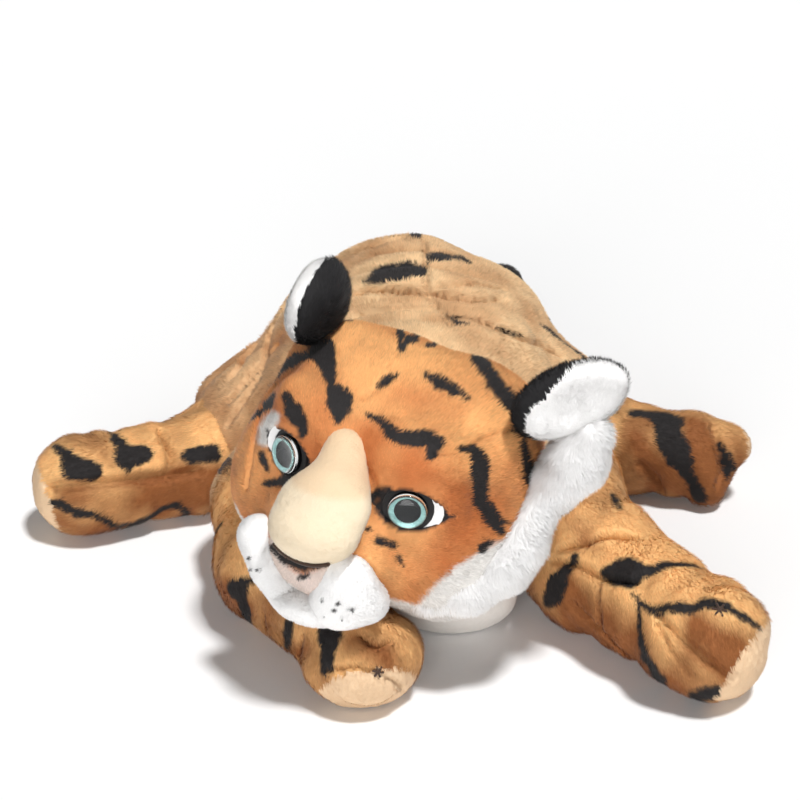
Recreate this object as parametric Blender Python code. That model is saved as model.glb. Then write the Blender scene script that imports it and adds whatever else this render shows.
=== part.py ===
"""A plush tiger lying on its belly, its chin on its right forepaw.

Metres, +Z up. The tiger faces -Y, its own left is +X, and the origin is the middle of the
belly's flat, on the floor. Left and right are always the tiger's own.
"""
import math

import bmesh
import bpy
from mathutils import Matrix, Vector

# Clearances and counts
GAP = 0.0003
FLAT_DEPTH = 0.0005
SIDES = 20
LIMB_SIDES = 16
TRIM_SIDES = 12
CAP_RINGS = 2
BALL_RINGS = 8
NECK_SIDES = 24
# Degrees by which a limb's room is wider than its swing
SWING_SPARE = 3.0
ROOM_SQUARENESS = 8.0
# How thick a limb is where it leaves its ball, as a share of the ball
ROOT_SHARE = 0.95

# Trunk
TRUNK_LENGTH = 0.353
TRUNK_FRONT_Y = -0.163
TRUNK_REAR_Y = TRUNK_FRONT_Y + TRUNK_LENGTH
TRUNK_HALF_WIDTH = 0.108
TRUNK_HEIGHT = 0.1675
# Per station: how far along from the rear, half width, lowest and highest point, as shares
TRUNK_STATION_SHARES = (
    (0.028, 0.37, 0.20, 0.60),
    (0.113, 0.72, 0.05, 0.82),
    (0.227, 0.92, -0.02, 0.96),
    (0.354, 0.99, -0.04, 1.00),
    (0.496, 1.00, -0.04, 0.97),
    (0.637, 0.96, -0.03, 0.91),
    (0.779, 0.87, -0.02, 0.84),
    (0.892, 0.68, 0.01, 0.72),
    (0.963, 0.42, 0.09, 0.54),
)
TRUNK_REAR_HEIGHT_SHARE = 0.40
TRUNK_FRONT_HEIGHT_SHARE = 0.30
TRUNK_SQUARENESS = 2.25

# Belly panel, throat and the bag of pellets behind the panel
BELLY_PANEL_THICKNESS = 0.005
BELLY_PANEL_HALF_WIDTH = 0.052
BELLY_PANEL_HALF_LENGTH = 0.115
THROAT_HALF_SIZES = (0.040, 0.022, 0.021)
THROAT_X = 0.022
THROAT_SET_BACK = 0.016
BAG_HALF_SIZES = (0.040, 0.070, 0.030)
BAG_Y = 0.010

# Neck
NECK_RADIUS = 0.045
NECK_AT = (-0.004, -0.095, 0.098)
# How far the head turns and lifts, in degrees, the room round its sweep, the level that its
# flat underside lies on and how far its back dips under that when it lifts
HEAD_TURNS = (-8.0, 0.0, 8.0)
HEAD_LIFTS = (0.0, 15.0)
HEAD_CLEARANCE = 0.004
HEAD_REST_HEIGHT = 0.050
HEAD_DIP = 0.004

# Head, in its own directions: left, forward, up
HEAD_AT = (-0.012, -0.160, 0.118)
HEAD_TURN = 27.0
HEAD_LIFT = 4.0
HEAD_TILT = 12.0
HEAD_HALF_WIDTH = 0.091
HEAD_HALF_HEIGHT = 0.080
HEAD_REACH = 0.115
# Per station: how far forward, half width, half height and how far down, as shares
HEAD_STATION_SHARES = (
    (-0.58, 0.44, 0.45, 0.00),
    (-0.40, 0.79, 0.80, 0.00),
    (-0.13, 0.99, 0.99, 0.00),
    (0.13, 1.00, 1.00, 0.00),
    (0.35, 0.88, 0.88, 0.01),
    (0.51, 0.68, 0.69, 0.08),
    (0.63, 0.52, 0.53, 0.18),
    (0.78, 0.45, 0.44, 0.31),
    (0.90, 0.35, 0.35, 0.34),
    (0.97, 0.20, 0.20, 0.34),
)
HEAD_REAR_SHARE = -0.64
HEAD_FRONT_DROP_SHARE = 0.34
HEAD_SQUARENESS = 2.2

# Face pieces, in the head's directions. Each place is in shares of the head's half width, reach
# and half height
NOSE_SHARE = (0.0, 0.765, -0.05)
NOSE_HALF_SIZES = (0.027, 0.046, 0.018)
NOSE_SLOPE = -52.0
PAD_SHARE = (0.286, 0.843, -0.512)
PAD_HALF_SIZES = (0.026, 0.022, 0.018)
PAD_SPREAD = 25.0
CHIN_SHARE = (0.0, 0.817, -0.70)
CHIN_HALF_SIZES = (0.018, 0.017, 0.009)
MOUTH_LINE_SHARE = (0.0, 1.017, -0.512)
MOUTH_LINE_HALF_SIZES = (0.013, 0.005, 0.0025)
RUFF_SHARE = (0.791, 0.0, -0.325)
RUFF_HALF_SIZES = (0.014, 0.046, 0.044)
RUFF_SPREAD = 24.0
RUFF_OVER_SHOULDER = 0.005
EAR_SHARES = {"left": (1.0, -0.05, 0.97), "right": (0.87, -0.05, 0.93)}
EAR_HALF_SIZES = (0.038, 0.011, 0.043)
# The right ear is folded back
EAR_SPREADS = {"left": 42.0, "right": -82.0}
EAR_LEAN = 20.0

# Eyes, round their own axes; depths are measured inwards from the seat's mouth
EYE_SHARE = (0.44, 0.574, 0.225)
EYE_SPREAD = 22.0
EYE_RADIUS = 0.0115
EYE_DOME_HEIGHT = 0.0055
PUPIL_RADIUS = 0.0074
IRIS_THICKNESS = 0.0006
EYE_BASE_THICKNESS = 0.0012
FELT_THICKNESS = 0.0012
FELT_RADIUS = 0.0150
CORNER_RADIUS = 0.0125
CORNER_SHIFT = 0.0085
POST_RADIUS = 0.0025
POST_LENGTH = 0.014
WASHER_RADIUS = 0.0080
WASHER_THICKNESS = 0.0014
SKIN_THICKNESS = 0.0030

# Forelegs: shoulder, elbow and middle of the paw
SHOULDERS = {"left": (0.095, -0.084, 0.050), "right": (-0.092, -0.080, 0.043)}
SHOULDER_RADII = {"left": 0.046, "right": 0.040}
ELBOWS = {"left": (0.116, -0.145, 0.039), "right": (-0.092, -0.143, 0.031)}
ELBOW_RADII = {"left": 0.038, "right": 0.031}
FOREPAWS = {"left": (0.175, -0.223, 0.036), "right": (-0.030, -0.233, 0.0275)}
FOREPAW_HALF_WIDTHS = {"left": 0.037, "right": 0.035}
FOREPAW_HALF_HEIGHTS = {"left": 0.0365, "right": 0.028}
SHOULDER_SWINGS = {"left": (-6.0, 14.0), "right": (-14.0, 0.0)}
ELBOW_SWINGS = {"left": (-10.0, 20.0), "right": (-20.0, 0.0)}

# Where each ruff ends below: level with the head's underside, or above the shoulder under it
RUFF_FLOORS = {
    "left": HEAD_REST_HEIGHT,
    "right": SHOULDERS["right"][2] + SHOULDER_RADII["right"] + RUFF_OVER_SHOULDER,
}

# Hind legs: hip and middle of the paw
HIP_RADIUS = 0.047
HIP_OUT = 0.104
HIP_Y = 0.045
HIP_HEIGHT = 0.047
HINDPAWS = {"left": (0.202, 0.024, 0.0325), "right": (-0.222, -0.022, 0.0345)}
HINDPAW_RADII = {"left": 0.033, "right": 0.035}
HIP_SWINGS = {"left": (-14.0, 10.0), "right": (-14.0, 10.0)}

# Soles: which way each one faces, and how deep it is let into its paw
SOLE_DEPTH = 0.011
FORE_SOLE_FACES = {"left": (0.80, -0.52, -0.30), "right": (0.20, -0.72, -0.66)}
HIND_SOLE_FACES = {"left": (0.97, -0.17, -0.17), "right": (-0.92, -0.32, -0.22)}

# Toe stitches, on the paws' upper fronts
STITCH_HALF_SIZES = (0.0035, 0.0035, 0.0022)
STITCH_FACES = {"left": (0.10, -0.55, 0.83), "right": (0.30, -0.90, 0.30)}

# Tail: its joints in order from the root, then its tip, each from the trunk's rear on the floor
TAIL_POINTS = (
    (0.000, -0.012, 0.038),
    (0.004, 0.055, 0.0255),
    (0.028, 0.120, 0.0225),
    (0.078, 0.162, 0.0205),
)
TAIL_RADII = (0.026, 0.0235, 0.0215, 0.0200)
TAIL_SWINGS = ((-20.0, 20.0), (-25.0, 25.0), (-25.0, 25.0))

# Colours (red, green, blue) and roughness of each kind of cloth and plastic
TAN = (0.60, 0.30, 0.10)
PALE_TAN = (0.72, 0.47, 0.24)
CREAM = (0.86, 0.72, 0.52)
WHITE = (0.90, 0.89, 0.86)
BLACK = (0.03, 0.03, 0.03)
BROWN = (0.10, 0.05, 0.03)
TEAL = (0.25, 0.52, 0.50)
CLEAR = (0.92, 0.95, 0.96)
GREY = (0.75, 0.75, 0.73)
CLOTH_ROUGHNESS = 0.9
PLASTIC_ROUGHNESS = 0.25

UP = Vector((0.0, 0.0, 1.0))
MIRROR = {"left": 1.0, "right": -1.0}


def material(name, colour, roughness):
    """A plain material for one sub-part."""
    mat = bpy.data.materials.new(name)
    mat.use_nodes = True
    shader = mat.node_tree.nodes["Principled BSDF"]
    shader.inputs["Base Color"].default_value = (*colour, 1.0)
    shader.inputs["Roughness"].default_value = roughness
    shader.inputs["Metallic"].default_value = 0.0
    return mat


def solid(name, points, faces):
    """An object from points and faces, with its faces turned outwards."""
    mesh = bpy.data.meshes.new(name)
    mesh.from_pydata([tuple(p) for p in points], [], faces)
    work = bmesh.new()
    work.from_mesh(mesh)
    bmesh.ops.recalc_face_normals(work, faces=work.faces)
    work.to_mesh(mesh)
    work.free()
    obj = bpy.data.objects.new(name, mesh)
    bpy.context.collection.objects.link(obj)
    return obj


def skin(name, rings, first, last):
    """A closed solid from rings of equal count, with a point at each end."""
    count = len(rings[0])
    points = [p for ring in rings for p in ring] + [first, last]
    faces = []
    for row in range(len(rings) - 1):
        for k in range(count):
            a = row * count + k
            b = row * count + (k + 1) % count
            faces.append((a, b, b + count, a + count))
    start = len(points) - 2
    base = (len(rings) - 1) * count
    for k in range(count):
        after = (k + 1) % count
        faces.append((start, after, k))
        faces.append((start + 1, base + k, base + after))
    return solid(name, points, faces)


def section(middle, across, upward, half_width, half_height, sides, squareness=2.0):
    """One ring: an ellipse, or a rounder box where squareness is over 2."""
    ring = []
    power = 2.0 / squareness
    for k in range(sides):
        turn = 2 * math.pi * k / sides
        c = math.cos(turn)
        s = math.sin(turn)
        x = half_width * math.copysign(abs(c) ** power, c)
        z = half_height * math.copysign(abs(s) ** power, s)
        ring.append(middle + across * x + upward * z)
    return ring


def ellipsoid(name, middle, half_sizes, frame, sides=TRIM_SIDES, rings=BALL_RINGS, grow=0.0):
    """An ellipsoid whose poles lie along the third direction of its frame."""
    across, along, upward = frame.col[0], frame.col[1], frame.col[2]
    a, b, c = (size + grow for size in half_sizes)
    rows = []
    for row in range(1, rings):
        tilt = math.pi * row / rings - math.pi / 2
        centre = middle + upward * (c * math.sin(tilt))
        wide = math.cos(tilt)
        rows.append(section(centre, across, along, a * wide, b * wide, sides))
    return skin(name, rows, middle - upward * c, middle + upward * c)


def ball(name, middle, radius, sides=SIDES, rings=BALL_RINGS, frame=None):
    """A ball whose poles lie along the axis that it turns about."""
    frame = frame or Matrix.Identity(3)
    return ellipsoid(name, middle, (radius,) * 3, frame, sides, rings)


def socket_radius(radius, sides=SIDES, rings=None):
    """The radius of a socket whose flats clear a turning ball's edges by GAP."""
    roundness = math.cos(math.pi / sides) * (math.cos(math.pi / (2 * rings)) if rings else 1.0)
    return (radius + GAP) / roundness


def lathe(name, middle, axis, profile, sides=SIDES):
    """A round solid whose profile lists (radius, level along the axis) from low to high."""
    frame = facing(axis)
    across, along, axis = frame.col[0], frame.col[1], frame.col[2]
    rings = [section(middle + axis * level, across, along, radius, radius, sides)
             for radius, level in profile]
    return skin(name, rings, middle + axis * profile[0][1], middle + axis * profile[-1][1])


def disc(name, middle, axis, radius, low, high, sides=SIDES, dome=0.0):
    """A round plate from low to high along its axis, crowned by dome."""
    profile = [(radius, low), (radius, high)]
    if dome:
        for step in range(1, CAP_RINGS + 1):
            tilt = step * math.pi / 2 / (CAP_RINGS + 1)
            profile.append((radius * math.cos(tilt), high + dome * math.sin(tilt)))
    return lathe(name, middle, axis, profile, sides)


def facing(axis):
    """A frame whose third direction is the axis."""
    axis = Vector(axis).normalized()
    across = axis.orthogonal().normalized()
    return Matrix((across, axis.cross(across), axis)).transposed()


def tapered(name, start, end, widths, heights, sides=LIMB_SIDES, squareness=2.0, grow=0.0):
    """A limb with round ends, whose half widths and half heights change from start to end."""
    start, end = Vector(start), Vector(end)
    along = (end - start).normalized()
    across = along.cross(UP).normalized()
    upward = across.cross(along)
    rings = []
    for step in range(CAP_RINGS, 0, -1):
        tilt = step * math.pi / 2 / (CAP_RINGS + 1)
        centre = start - along * ((widths[0] + grow) * math.sin(tilt))
        rings.append(section(centre, across, upward, (widths[0] + grow) * math.cos(tilt),
                             (heights[0] + grow) * math.cos(tilt), sides, squareness))
    for share in (0.0, 0.5, 1.0):
        wide = widths[0] + (widths[1] - widths[0]) * share + grow
        high = heights[0] + (heights[1] - heights[0]) * share + grow
        rings.append(section(start.lerp(end, share), across, upward, wide, high, sides,
                             squareness))
    for step in range(1, CAP_RINGS + 1):
        tilt = step * math.pi / 2 / (CAP_RINGS + 1)
        centre = end + along * ((widths[1] + grow) * math.sin(tilt))
        rings.append(section(centre, across, upward, (widths[1] + grow) * math.cos(tilt),
                             (heights[1] + grow) * math.cos(tilt), sides, squareness))
    return skin(name, rings, start - along * (widths[0] + grow), end + along * (widths[1] + grow))


def swing_room(name, centre, towards, swing, radius, length):
    """The space that a limb sweeps as it swings level about its joint."""
    along = Vector((towards[0], towards[1], 0.0)).normalized()
    middle = math.radians((swing[0] + swing[1]) / 2)
    half = math.radians((swing[1] - swing[0]) / 2 + SWING_SPARE)
    along = Matrix.Rotation(middle, 3, "Z") @ along
    across = along.cross(UP)
    behind = radius * math.sin(half)
    rings = []
    for share in (0.0, 0.5, 1.0):
        reach = (length + behind) * share - behind
        half_width = radius / math.cos(half) + reach * math.tan(half)
        rings.append(section(centre + along * reach, across, UP, half_width, radius, TRIM_SIDES,
                             ROOM_SQUARENESS))
    return skin(name, rings, centre - along * behind, centre + along * length)


def combine(target, other, operation):
    """Applies a boolean with the other object, which then goes."""
    modifier = target.modifiers.new("shape", "BOOLEAN")
    modifier.operation = operation
    modifier.solver = "EXACT"
    modifier.object = other
    graph = bpy.context.evaluated_depsgraph_get()
    graph.update()
    mesh = bpy.data.meshes.new_from_object(target.evaluated_get(graph))
    old = target.data
    target.modifiers.clear()
    target.data = mesh
    bpy.data.meshes.remove(old)
    remove(other)


def remove(obj):
    """Deletes an object and its mesh."""
    mesh = obj.data
    bpy.data.objects.remove(obj)
    bpy.data.meshes.remove(mesh)


def cut(target, *cutters):
    """Takes the cutters away from the target."""
    for cutter in cutters:
        combine(target, cutter, "DIFFERENCE")


def join(target, *others):
    """Adds the others to the target."""
    for other in others:
        combine(target, other, "UNION")


def beyond(name, point, normal):
    """A block that fills all of the space past a plane, as far as the toy reaches."""
    frame = facing(normal)
    size = 2 * TRUNK_LENGTH
    corners = []
    for level in (0.0, size):
        for x, y in ((-size, -size), (size, -size), (size, size), (-size, size)):
            corners.append(point + frame.col[0] * x + frame.col[1] * y + frame.col[2] * level)
    faces = [(3, 2, 1, 0), (4, 5, 6, 7), (0, 1, 5, 4), (1, 2, 6, 5), (2, 3, 7, 6), (3, 0, 4, 7)]
    return solid(name, corners, faces)


def stand_flat(target, level=0.0):
    """Cuts a form flat where it stands."""
    cut(target, beyond("floor", Vector((0.0, 0.0, level)), -UP))


def finish(obj, colour, roughness=CLOTH_ROUGHNESS, pivot=None):
    """Welds, smooths and colours a node, and sets its origin on its joint."""
    work = bmesh.new()
    work.from_mesh(obj.data)
    bmesh.ops.remove_doubles(work, verts=work.verts, dist=GAP / 6)
    bmesh.ops.dissolve_degenerate(work, edges=work.edges, dist=GAP / 6)
    bmesh.ops.triangulate(work, faces=work.faces)
    bmesh.ops.recalc_face_normals(work, faces=work.faces)
    work.to_mesh(obj.data)
    work.free()
    for face in obj.data.polygons:
        face.use_smooth = True
    obj.data.materials.clear()
    obj.data.materials.append(material(obj.name, colour, roughness))
    if pivot is not None:
        obj.data.transform(Matrix.Translation(-Vector(pivot)))
        obj.location = pivot
    return obj


def head_frame():
    """The head's left, forward and up directions, as columns."""
    turn, lift, tilt = (math.radians(v) for v in (HEAD_TURN, HEAD_LIFT, HEAD_TILT))
    forward = Vector((-math.sin(turn) * math.cos(lift), -math.cos(turn) * math.cos(lift),
                      math.sin(lift)))
    level = Vector((math.cos(turn), -math.sin(turn), 0.0))
    upright = forward.cross(level) * -1.0
    if upright.z < 0:
        upright = upright * -1.0
    left = level * math.cos(tilt) - upright * math.sin(tilt)
    upward = level * math.sin(tilt) + upright * math.cos(tilt)
    return Matrix((left, forward, upward)).transposed()


HEAD = head_frame()
HEAD_MIDDLE = Vector(HEAD_AT)
NECK = Vector(NECK_AT)


def on_head(place):
    """A place in the head's directions, in the part's frame."""
    return HEAD_MIDDLE + HEAD @ Vector(place)


def on_face(shares, side="left"):
    """A place in shares of the head's half width, reach and half height, on the given side."""
    return on_head((shares[0] * HEAD_HALF_WIDTH * MIRROR[side], shares[1] * HEAD_REACH,
                    shares[2] * HEAD_HALF_HEIGHT))


def turned(spread=0.0, slope=0.0, lean=0.0):
    """A frame on the head, turned about up, then left, then forward, in degrees."""
    turns = (Matrix.Rotation(math.radians(-spread), 3, "Z")
             @ Matrix.Rotation(math.radians(slope), 3, "X")
             @ Matrix.Rotation(math.radians(lean), 3, "Y"))
    return HEAD @ turns


def trunk_form(name, grow=0.0):
    """The trunk before anything is cut from it."""
    rings = []
    for along, wide, low, high in TRUNK_STATION_SHARES:
        y = TRUNK_REAR_Y - TRUNK_LENGTH * along
        bottom, top = low * TRUNK_HEIGHT - grow, high * TRUNK_HEIGHT + grow
        middle = Vector((0.0, y, (bottom + top) / 2))
        rings.append(section(middle, Vector((1, 0, 0)), UP, TRUNK_HALF_WIDTH * wide + grow,
                             (top - bottom) / 2, SIDES, TRUNK_SQUARENESS))
    rear = Vector((0.0, TRUNK_REAR_Y + grow, TRUNK_HEIGHT * TRUNK_REAR_HEIGHT_SHARE))
    front = Vector((0.0, TRUNK_FRONT_Y - grow, TRUNK_HEIGHT * TRUNK_FRONT_HEIGHT_SHARE))
    return skin(name, rings, rear, front)


def head_form(name, grow=0.0):
    """The head with its cheeks and muzzle, before anything is cut from it."""
    rings = []
    for along, wide, high, drop in HEAD_STATION_SHARES:
        middle = on_head((0.0, HEAD_REACH * along, -HEAD_HALF_HEIGHT * drop))
        rings.append(section(middle, HEAD.col[0], HEAD.col[2], HEAD_HALF_WIDTH * wide + grow,
                             HEAD_HALF_HEIGHT * high + grow, SIDES, HEAD_SQUARENESS))
    rear = on_head((0.0, HEAD_REACH * HEAD_REAR_SHARE - grow, 0.0))
    front = on_head((0.0, HEAD_REACH + grow, -HEAD_HALF_HEIGHT * HEAD_FRONT_DROP_SHARE))
    return skin(name, rings, rear, front)


def swept(make):
    """A form of the head at each limit of its turn and lift, down to the level it lies on."""
    rooms = []
    for turn in HEAD_TURNS:
        for lift in HEAD_LIFTS:
            room = make()
            spin = (Matrix.Rotation(math.radians(turn), 4, "Z")
                    @ Matrix.Rotation(math.radians(lift), 4, -HEAD.col[0]))
            room.data.transform(Matrix.Translation(NECK) @ spin @ Matrix.Translation(-NECK))
            stand_flat(room, HEAD_REST_HEIGHT - HEAD_DIP)
            rooms.append(room)
    return rooms


def head_rooms():
    """The space that the head needs to turn and lift."""
    return swept(lambda: head_form("head room", HEAD_CLEARANCE))


def shoulder(side):
    """The middle of a shoulder."""
    return Vector(SHOULDERS[side])


def hip(side):
    """The middle of a hip."""
    return Vector((HIP_OUT * MIRROR[side], HIP_Y, HIP_HEIGHT))


def upper_foreleg_form(name, side, grow=0.0):
    """The tube from a shoulder to its elbow."""
    start, end = SHOULDER_RADII[side] * ROOT_SHARE, ELBOW_RADII[side] * ROOT_SHARE
    return tapered(name, shoulder(side), ELBOWS[side], (start, end), (start, end), grow=grow)


def lower_foreleg_form(name, side, grow=0.0):
    """The tube from an elbow to its paw."""
    elbow, wide = ELBOW_RADII[side] * ROOT_SHARE, FOREPAW_HALF_WIDTHS[side]
    return tapered(name, ELBOWS[side], FOREPAWS[side], (elbow, wide),
                   (elbow, FOREPAW_HALF_HEIGHTS[side]), squareness=2.15, grow=grow)


def hind_leg_form(name, side, grow=0.0):
    """The tube from a hip to its paw."""
    start, end = HIP_RADIUS * ROOT_SHARE, HINDPAW_RADII[side]
    return tapered(name, hip(side), HINDPAWS[side], (start, end), (start, end), grow=grow)


def sole_plane(paw, face, reach):
    """A point on the plane where a sole meets its paw, and the way it faces."""
    face = Vector(face).normalized()
    return Vector(paw) + face * (reach - SOLE_DEPTH), face


def split_sole(leg, name, form, paw, face, reach):
    """Cuts the paw's end off the leg and makes the sole from it."""
    point, face = sole_plane(paw, face, reach)
    sole = form
    sole.name = name
    stand_flat(sole)
    combine(sole, beyond("paw side", point + face * GAP, face), "INTERSECT")
    cut(leg, beyond("sole side", point, face))
    return sole


def make_trunk():
    """The trunk with its sockets, its flat belly and the pocket for the pellets."""
    trunk = trunk_form("trunk")
    stand_flat(trunk, BELLY_PANEL_THICKNESS + GAP)
    cut(trunk, *head_rooms(),
        ball("neck socket", NECK, socket_radius(NECK_RADIUS, NECK_SIDES), NECK_SIDES,
             NECK_SIDES // 2))
    for side in MIRROR:
        arm = Vector(ELBOWS[side]) - shoulder(side)
        leg = Vector(HINDPAWS[side]) - hip(side)
        cut(trunk,
            ball("shoulder socket", shoulder(side), socket_radius(SHOULDER_RADII[side])),
            swing_room("foreleg room", shoulder(side), arm, SHOULDER_SWINGS[side],
                       SHOULDER_RADII[side], arm.length + SHOULDER_RADII[side]),
            ball("hip socket", hip(side), socket_radius(HIP_RADIUS)),
            swing_room("hind leg room", hip(side), leg, HIP_SWINGS[side], HIP_RADIUS,
                       leg.length))
    tail = tail_point(1) - tail_point(0)
    cut(trunk, ball("tail socket", tail_point(0), socket_radius(TAIL_RADII[0])),
        swing_room("tail room", tail_point(0), tail, TAIL_SWINGS[0], TAIL_RADII[0],
                   tail.length))
    cut(trunk, throat_form("throat seat", GAP), bag_form("pocket", GAP))
    return finish(trunk, PALE_TAN)


def throat_form(name, grow=0.0):
    """The cream throat, low on the chest's front."""
    width, depth, height = THROAT_HALF_SIZES
    y = TRUNK_FRONT_Y + THROAT_SET_BACK
    middle = Vector((THROAT_X, y, height - FLAT_DEPTH))
    return ellipsoid(name, middle, THROAT_HALF_SIZES, Matrix.Identity(3), SIDES, grow=grow)


def bag_form(name, grow=0.0):
    """The pellet bag: the upper half of a flat ellipsoid, standing on the belly panel."""
    floor = BELLY_PANEL_THICKNESS + GAP
    bag = ellipsoid(name, Vector((0.0, BAG_Y, floor)), BAG_HALF_SIZES, Matrix.Identity(3), SIDES,
                    grow=grow)
    stand_flat(bag, floor - grow)
    return bag


def make_belly():
    """The throat, the flat belly panel and the pellet bag that it closes in."""
    panel = disc("belly_panel", Vector((0.0, 0.0, 0.0)), UP, 1.0, 0.0, BELLY_PANEL_THICKNESS)
    stretch = Matrix.Diagonal((BELLY_PANEL_HALF_WIDTH, BELLY_PANEL_HALF_LENGTH, 1.0, 1.0))
    panel.data.transform(stretch)
    finish(panel, CREAM)
    throat = throat_form("throat_panel")
    cut(throat, *head_rooms())
    stand_flat(throat)
    finish(throat, CREAM)
    finish(bag_form("pellet_bag"), GREY)


def make_neck():
    """The stuffed neck, a ball between trunk and head."""
    neck = ball("neck", NECK, NECK_RADIUS, NECK_SIDES, NECK_SIDES // 2)
    finish(neck, PALE_TAN, pivot=NECK)


def eye_axis(side):
    """The way an eye looks."""
    return turned(spread=EYE_SPREAD * MIRROR[side]).col[1].normalized()


def eye_place(side):
    """The middle of an eye seat's mouth."""
    return on_face(EYE_SHARE, side)


def corner_place(side):
    """The middle of the white felt at an eye's outer corner."""
    outward = turned(spread=EYE_SPREAD * MIRROR[side]).col[0] * MIRROR[side]
    return eye_place(side) + outward * CORNER_SHIFT


FELT_FLOOR = -FELT_THICKNESS - GAP
WASHER_TOP = FELT_FLOOR - SKIN_THICKNESS


def make_eye(side):
    """One safety eye: clear dome, iris, black base on its post, lock washer and felts."""
    middle, axis = eye_place(side), eye_axis(side)
    felt = disc("eye_felt_" + side, middle, axis, FELT_RADIUS, -FELT_THICKNESS, 0.0)
    cut(felt, disc("hole", middle, axis, POST_RADIUS + GAP, -FELT_RADIUS, FELT_RADIUS))
    finish(felt, BLACK, pivot=NECK)
    corner = disc("eye_corner_" + side, corner_place(side), axis, CORNER_RADIUS,
                  -FELT_THICKNESS, 0.0)
    cut(corner, disc("felt", middle, axis, FELT_RADIUS + GAP, -FELT_RADIUS, FELT_RADIUS))
    finish(corner, WHITE, pivot=NECK)
    base_top = GAP + EYE_BASE_THICKNESS
    post = disc("eye_post_" + side, middle, axis, EYE_RADIUS, GAP, base_top)
    join(post, disc("stem", middle, axis, POST_RADIUS, -POST_LENGTH, base_top / 2, TRIM_SIDES))
    finish(post, BLACK, PLASTIC_ROUGHNESS, NECK)
    iris_low = base_top + GAP
    iris_top = iris_low + IRIS_THICKNESS
    iris = disc("eye_iris_" + side, middle, axis, EYE_RADIUS, iris_low, iris_top)
    cut(iris, disc("pupil", middle, axis, PUPIL_RADIUS, -FELT_RADIUS, FELT_RADIUS))
    finish(iris, TEAL, PLASTIC_ROUGHNESS, NECK)
    lens_low = iris_top + GAP
    lens = disc("eye_lens_" + side, middle, axis, EYE_RADIUS, lens_low,
                lens_low + IRIS_THICKNESS, dome=EYE_DOME_HEIGHT)
    finish(lens, CLEAR, PLASTIC_ROUGHNESS, NECK)
    washer = disc("eye_washer_" + side, middle, axis, WASHER_RADIUS,
                  WASHER_TOP - WASHER_THICKNESS, WASHER_TOP)
    cut(washer, disc("bore", middle, axis, POST_RADIUS + GAP, -2 * POST_LENGTH, FELT_RADIUS))
    finish(washer, WHITE, PLASTIC_ROUGHNESS, NECK)


def eye_room(side):
    """What an eye takes out of the head: felt seats, post bore and washer pocket."""
    middle, axis = eye_place(side), eye_axis(side)
    seat, bore, pocket = FELT_RADIUS + GAP, POST_RADIUS + GAP, WASHER_RADIUS + GAP
    pocket_floor = WASHER_TOP - WASHER_THICKNESS - GAP
    profile = (
        (bore, -POST_LENGTH - GAP),
        (bore, pocket_floor),
        (pocket, pocket_floor),
        (pocket, WASHER_TOP + GAP),
        (bore, WASHER_TOP + GAP),
        (bore, FELT_FLOOR),
        (seat, FELT_FLOOR),
        (seat, seat),
    )
    return (
        lathe("eye seat", middle, axis, profile),
        disc("corner seat", corner_place(side), axis, CORNER_RADIUS + GAP, FELT_FLOOR - GAP, seat),
    )


def nose_form(name, grow=0.0):
    """The cream bridge and nose, one long pad down the face."""
    return ellipsoid(name, on_face(NOSE_SHARE), NOSE_HALF_SIZES, turned(slope=NOSE_SLOPE), SIDES,
                     grow=grow)


def pad_form(name, side, grow=0.0):
    """A white whisker pad."""
    frame = turned(spread=PAD_SPREAD * MIRROR[side])
    return ellipsoid(name, on_face(PAD_SHARE, side), PAD_HALF_SIZES, frame, SIDES,
                     grow=grow)


def chin_form(name, grow=0.0):
    """The chin, below the whisker pads."""
    return ellipsoid(name, on_face(CHIN_SHARE), CHIN_HALF_SIZES, HEAD, SIDES, grow=grow)


def make_face():
    """Nose, whisker pads, chin and the sewn line under the nose."""
    nose = nose_form("nose")
    cut(nose, head_form("head side", GAP))
    finish(nose, CREAM, pivot=NECK)
    for side in MIRROR:
        pad = pad_form("whisker_pad_" + side, side)
        cut(pad, head_form("head side", GAP), nose_form("nose side", GAP),
            beyond("middle", on_head((GAP * MIRROR[side], 0.0, 0.0)),
                   HEAD.col[0] * -MIRROR[side]))
        finish(pad, WHITE, pivot=NECK)
    chin = chin_form("chin")
    cut(chin, head_form("head side", GAP), pad_form("left pad", "left", GAP),
        pad_form("right pad", "right", GAP))
    finish(chin, WHITE, pivot=NECK)
    line = ellipsoid("mouth_line", on_face(MOUTH_LINE_SHARE), MOUTH_LINE_HALF_SIZES, HEAD)
    cut(line, head_form("head side", GAP), nose_form("nose side", GAP),
        pad_form("left pad", "left", GAP), pad_form("right pad", "right", GAP))
    finish(line, BROWN, pivot=NECK)


def ear_form(name, side, grow=0.0):
    """A whole ear, a round flat form that leans outwards."""
    frame = turned(spread=EAR_SPREADS[side], lean=EAR_LEAN * MIRROR[side])
    return ellipsoid(name, on_face(EAR_SHARES[side], side), EAR_HALF_SIZES, frame, SIDES,
                     grow=grow)


def make_ear(side):
    """The black back and the white lining of one ear."""
    frame = turned(spread=EAR_SPREADS[side], lean=EAR_LEAN * MIRROR[side])
    middle = on_face(EAR_SHARES[side], side)
    front = frame.col[1]
    back = ear_form("ear_back_" + side, side)
    cut(back, head_form("head side", GAP), beyond("lining side", middle, front))
    finish(back, BLACK, pivot=NECK)
    lining = ear_form("ear_lining_" + side, side)
    cut(lining, head_form("head side", GAP),
        beyond("back side", middle + front * GAP, -front))
    finish(lining, WHITE, pivot=NECK)


def ruff_form(name, side, grow=0.0):
    """A whole ruff, flat behind the cheek."""
    frame = turned(spread=RUFF_SPREAD * MIRROR[side])
    return ellipsoid(name, on_face(RUFF_SHARE, side), RUFF_HALF_SIZES, frame, SIDES,
                     grow=grow)


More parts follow.
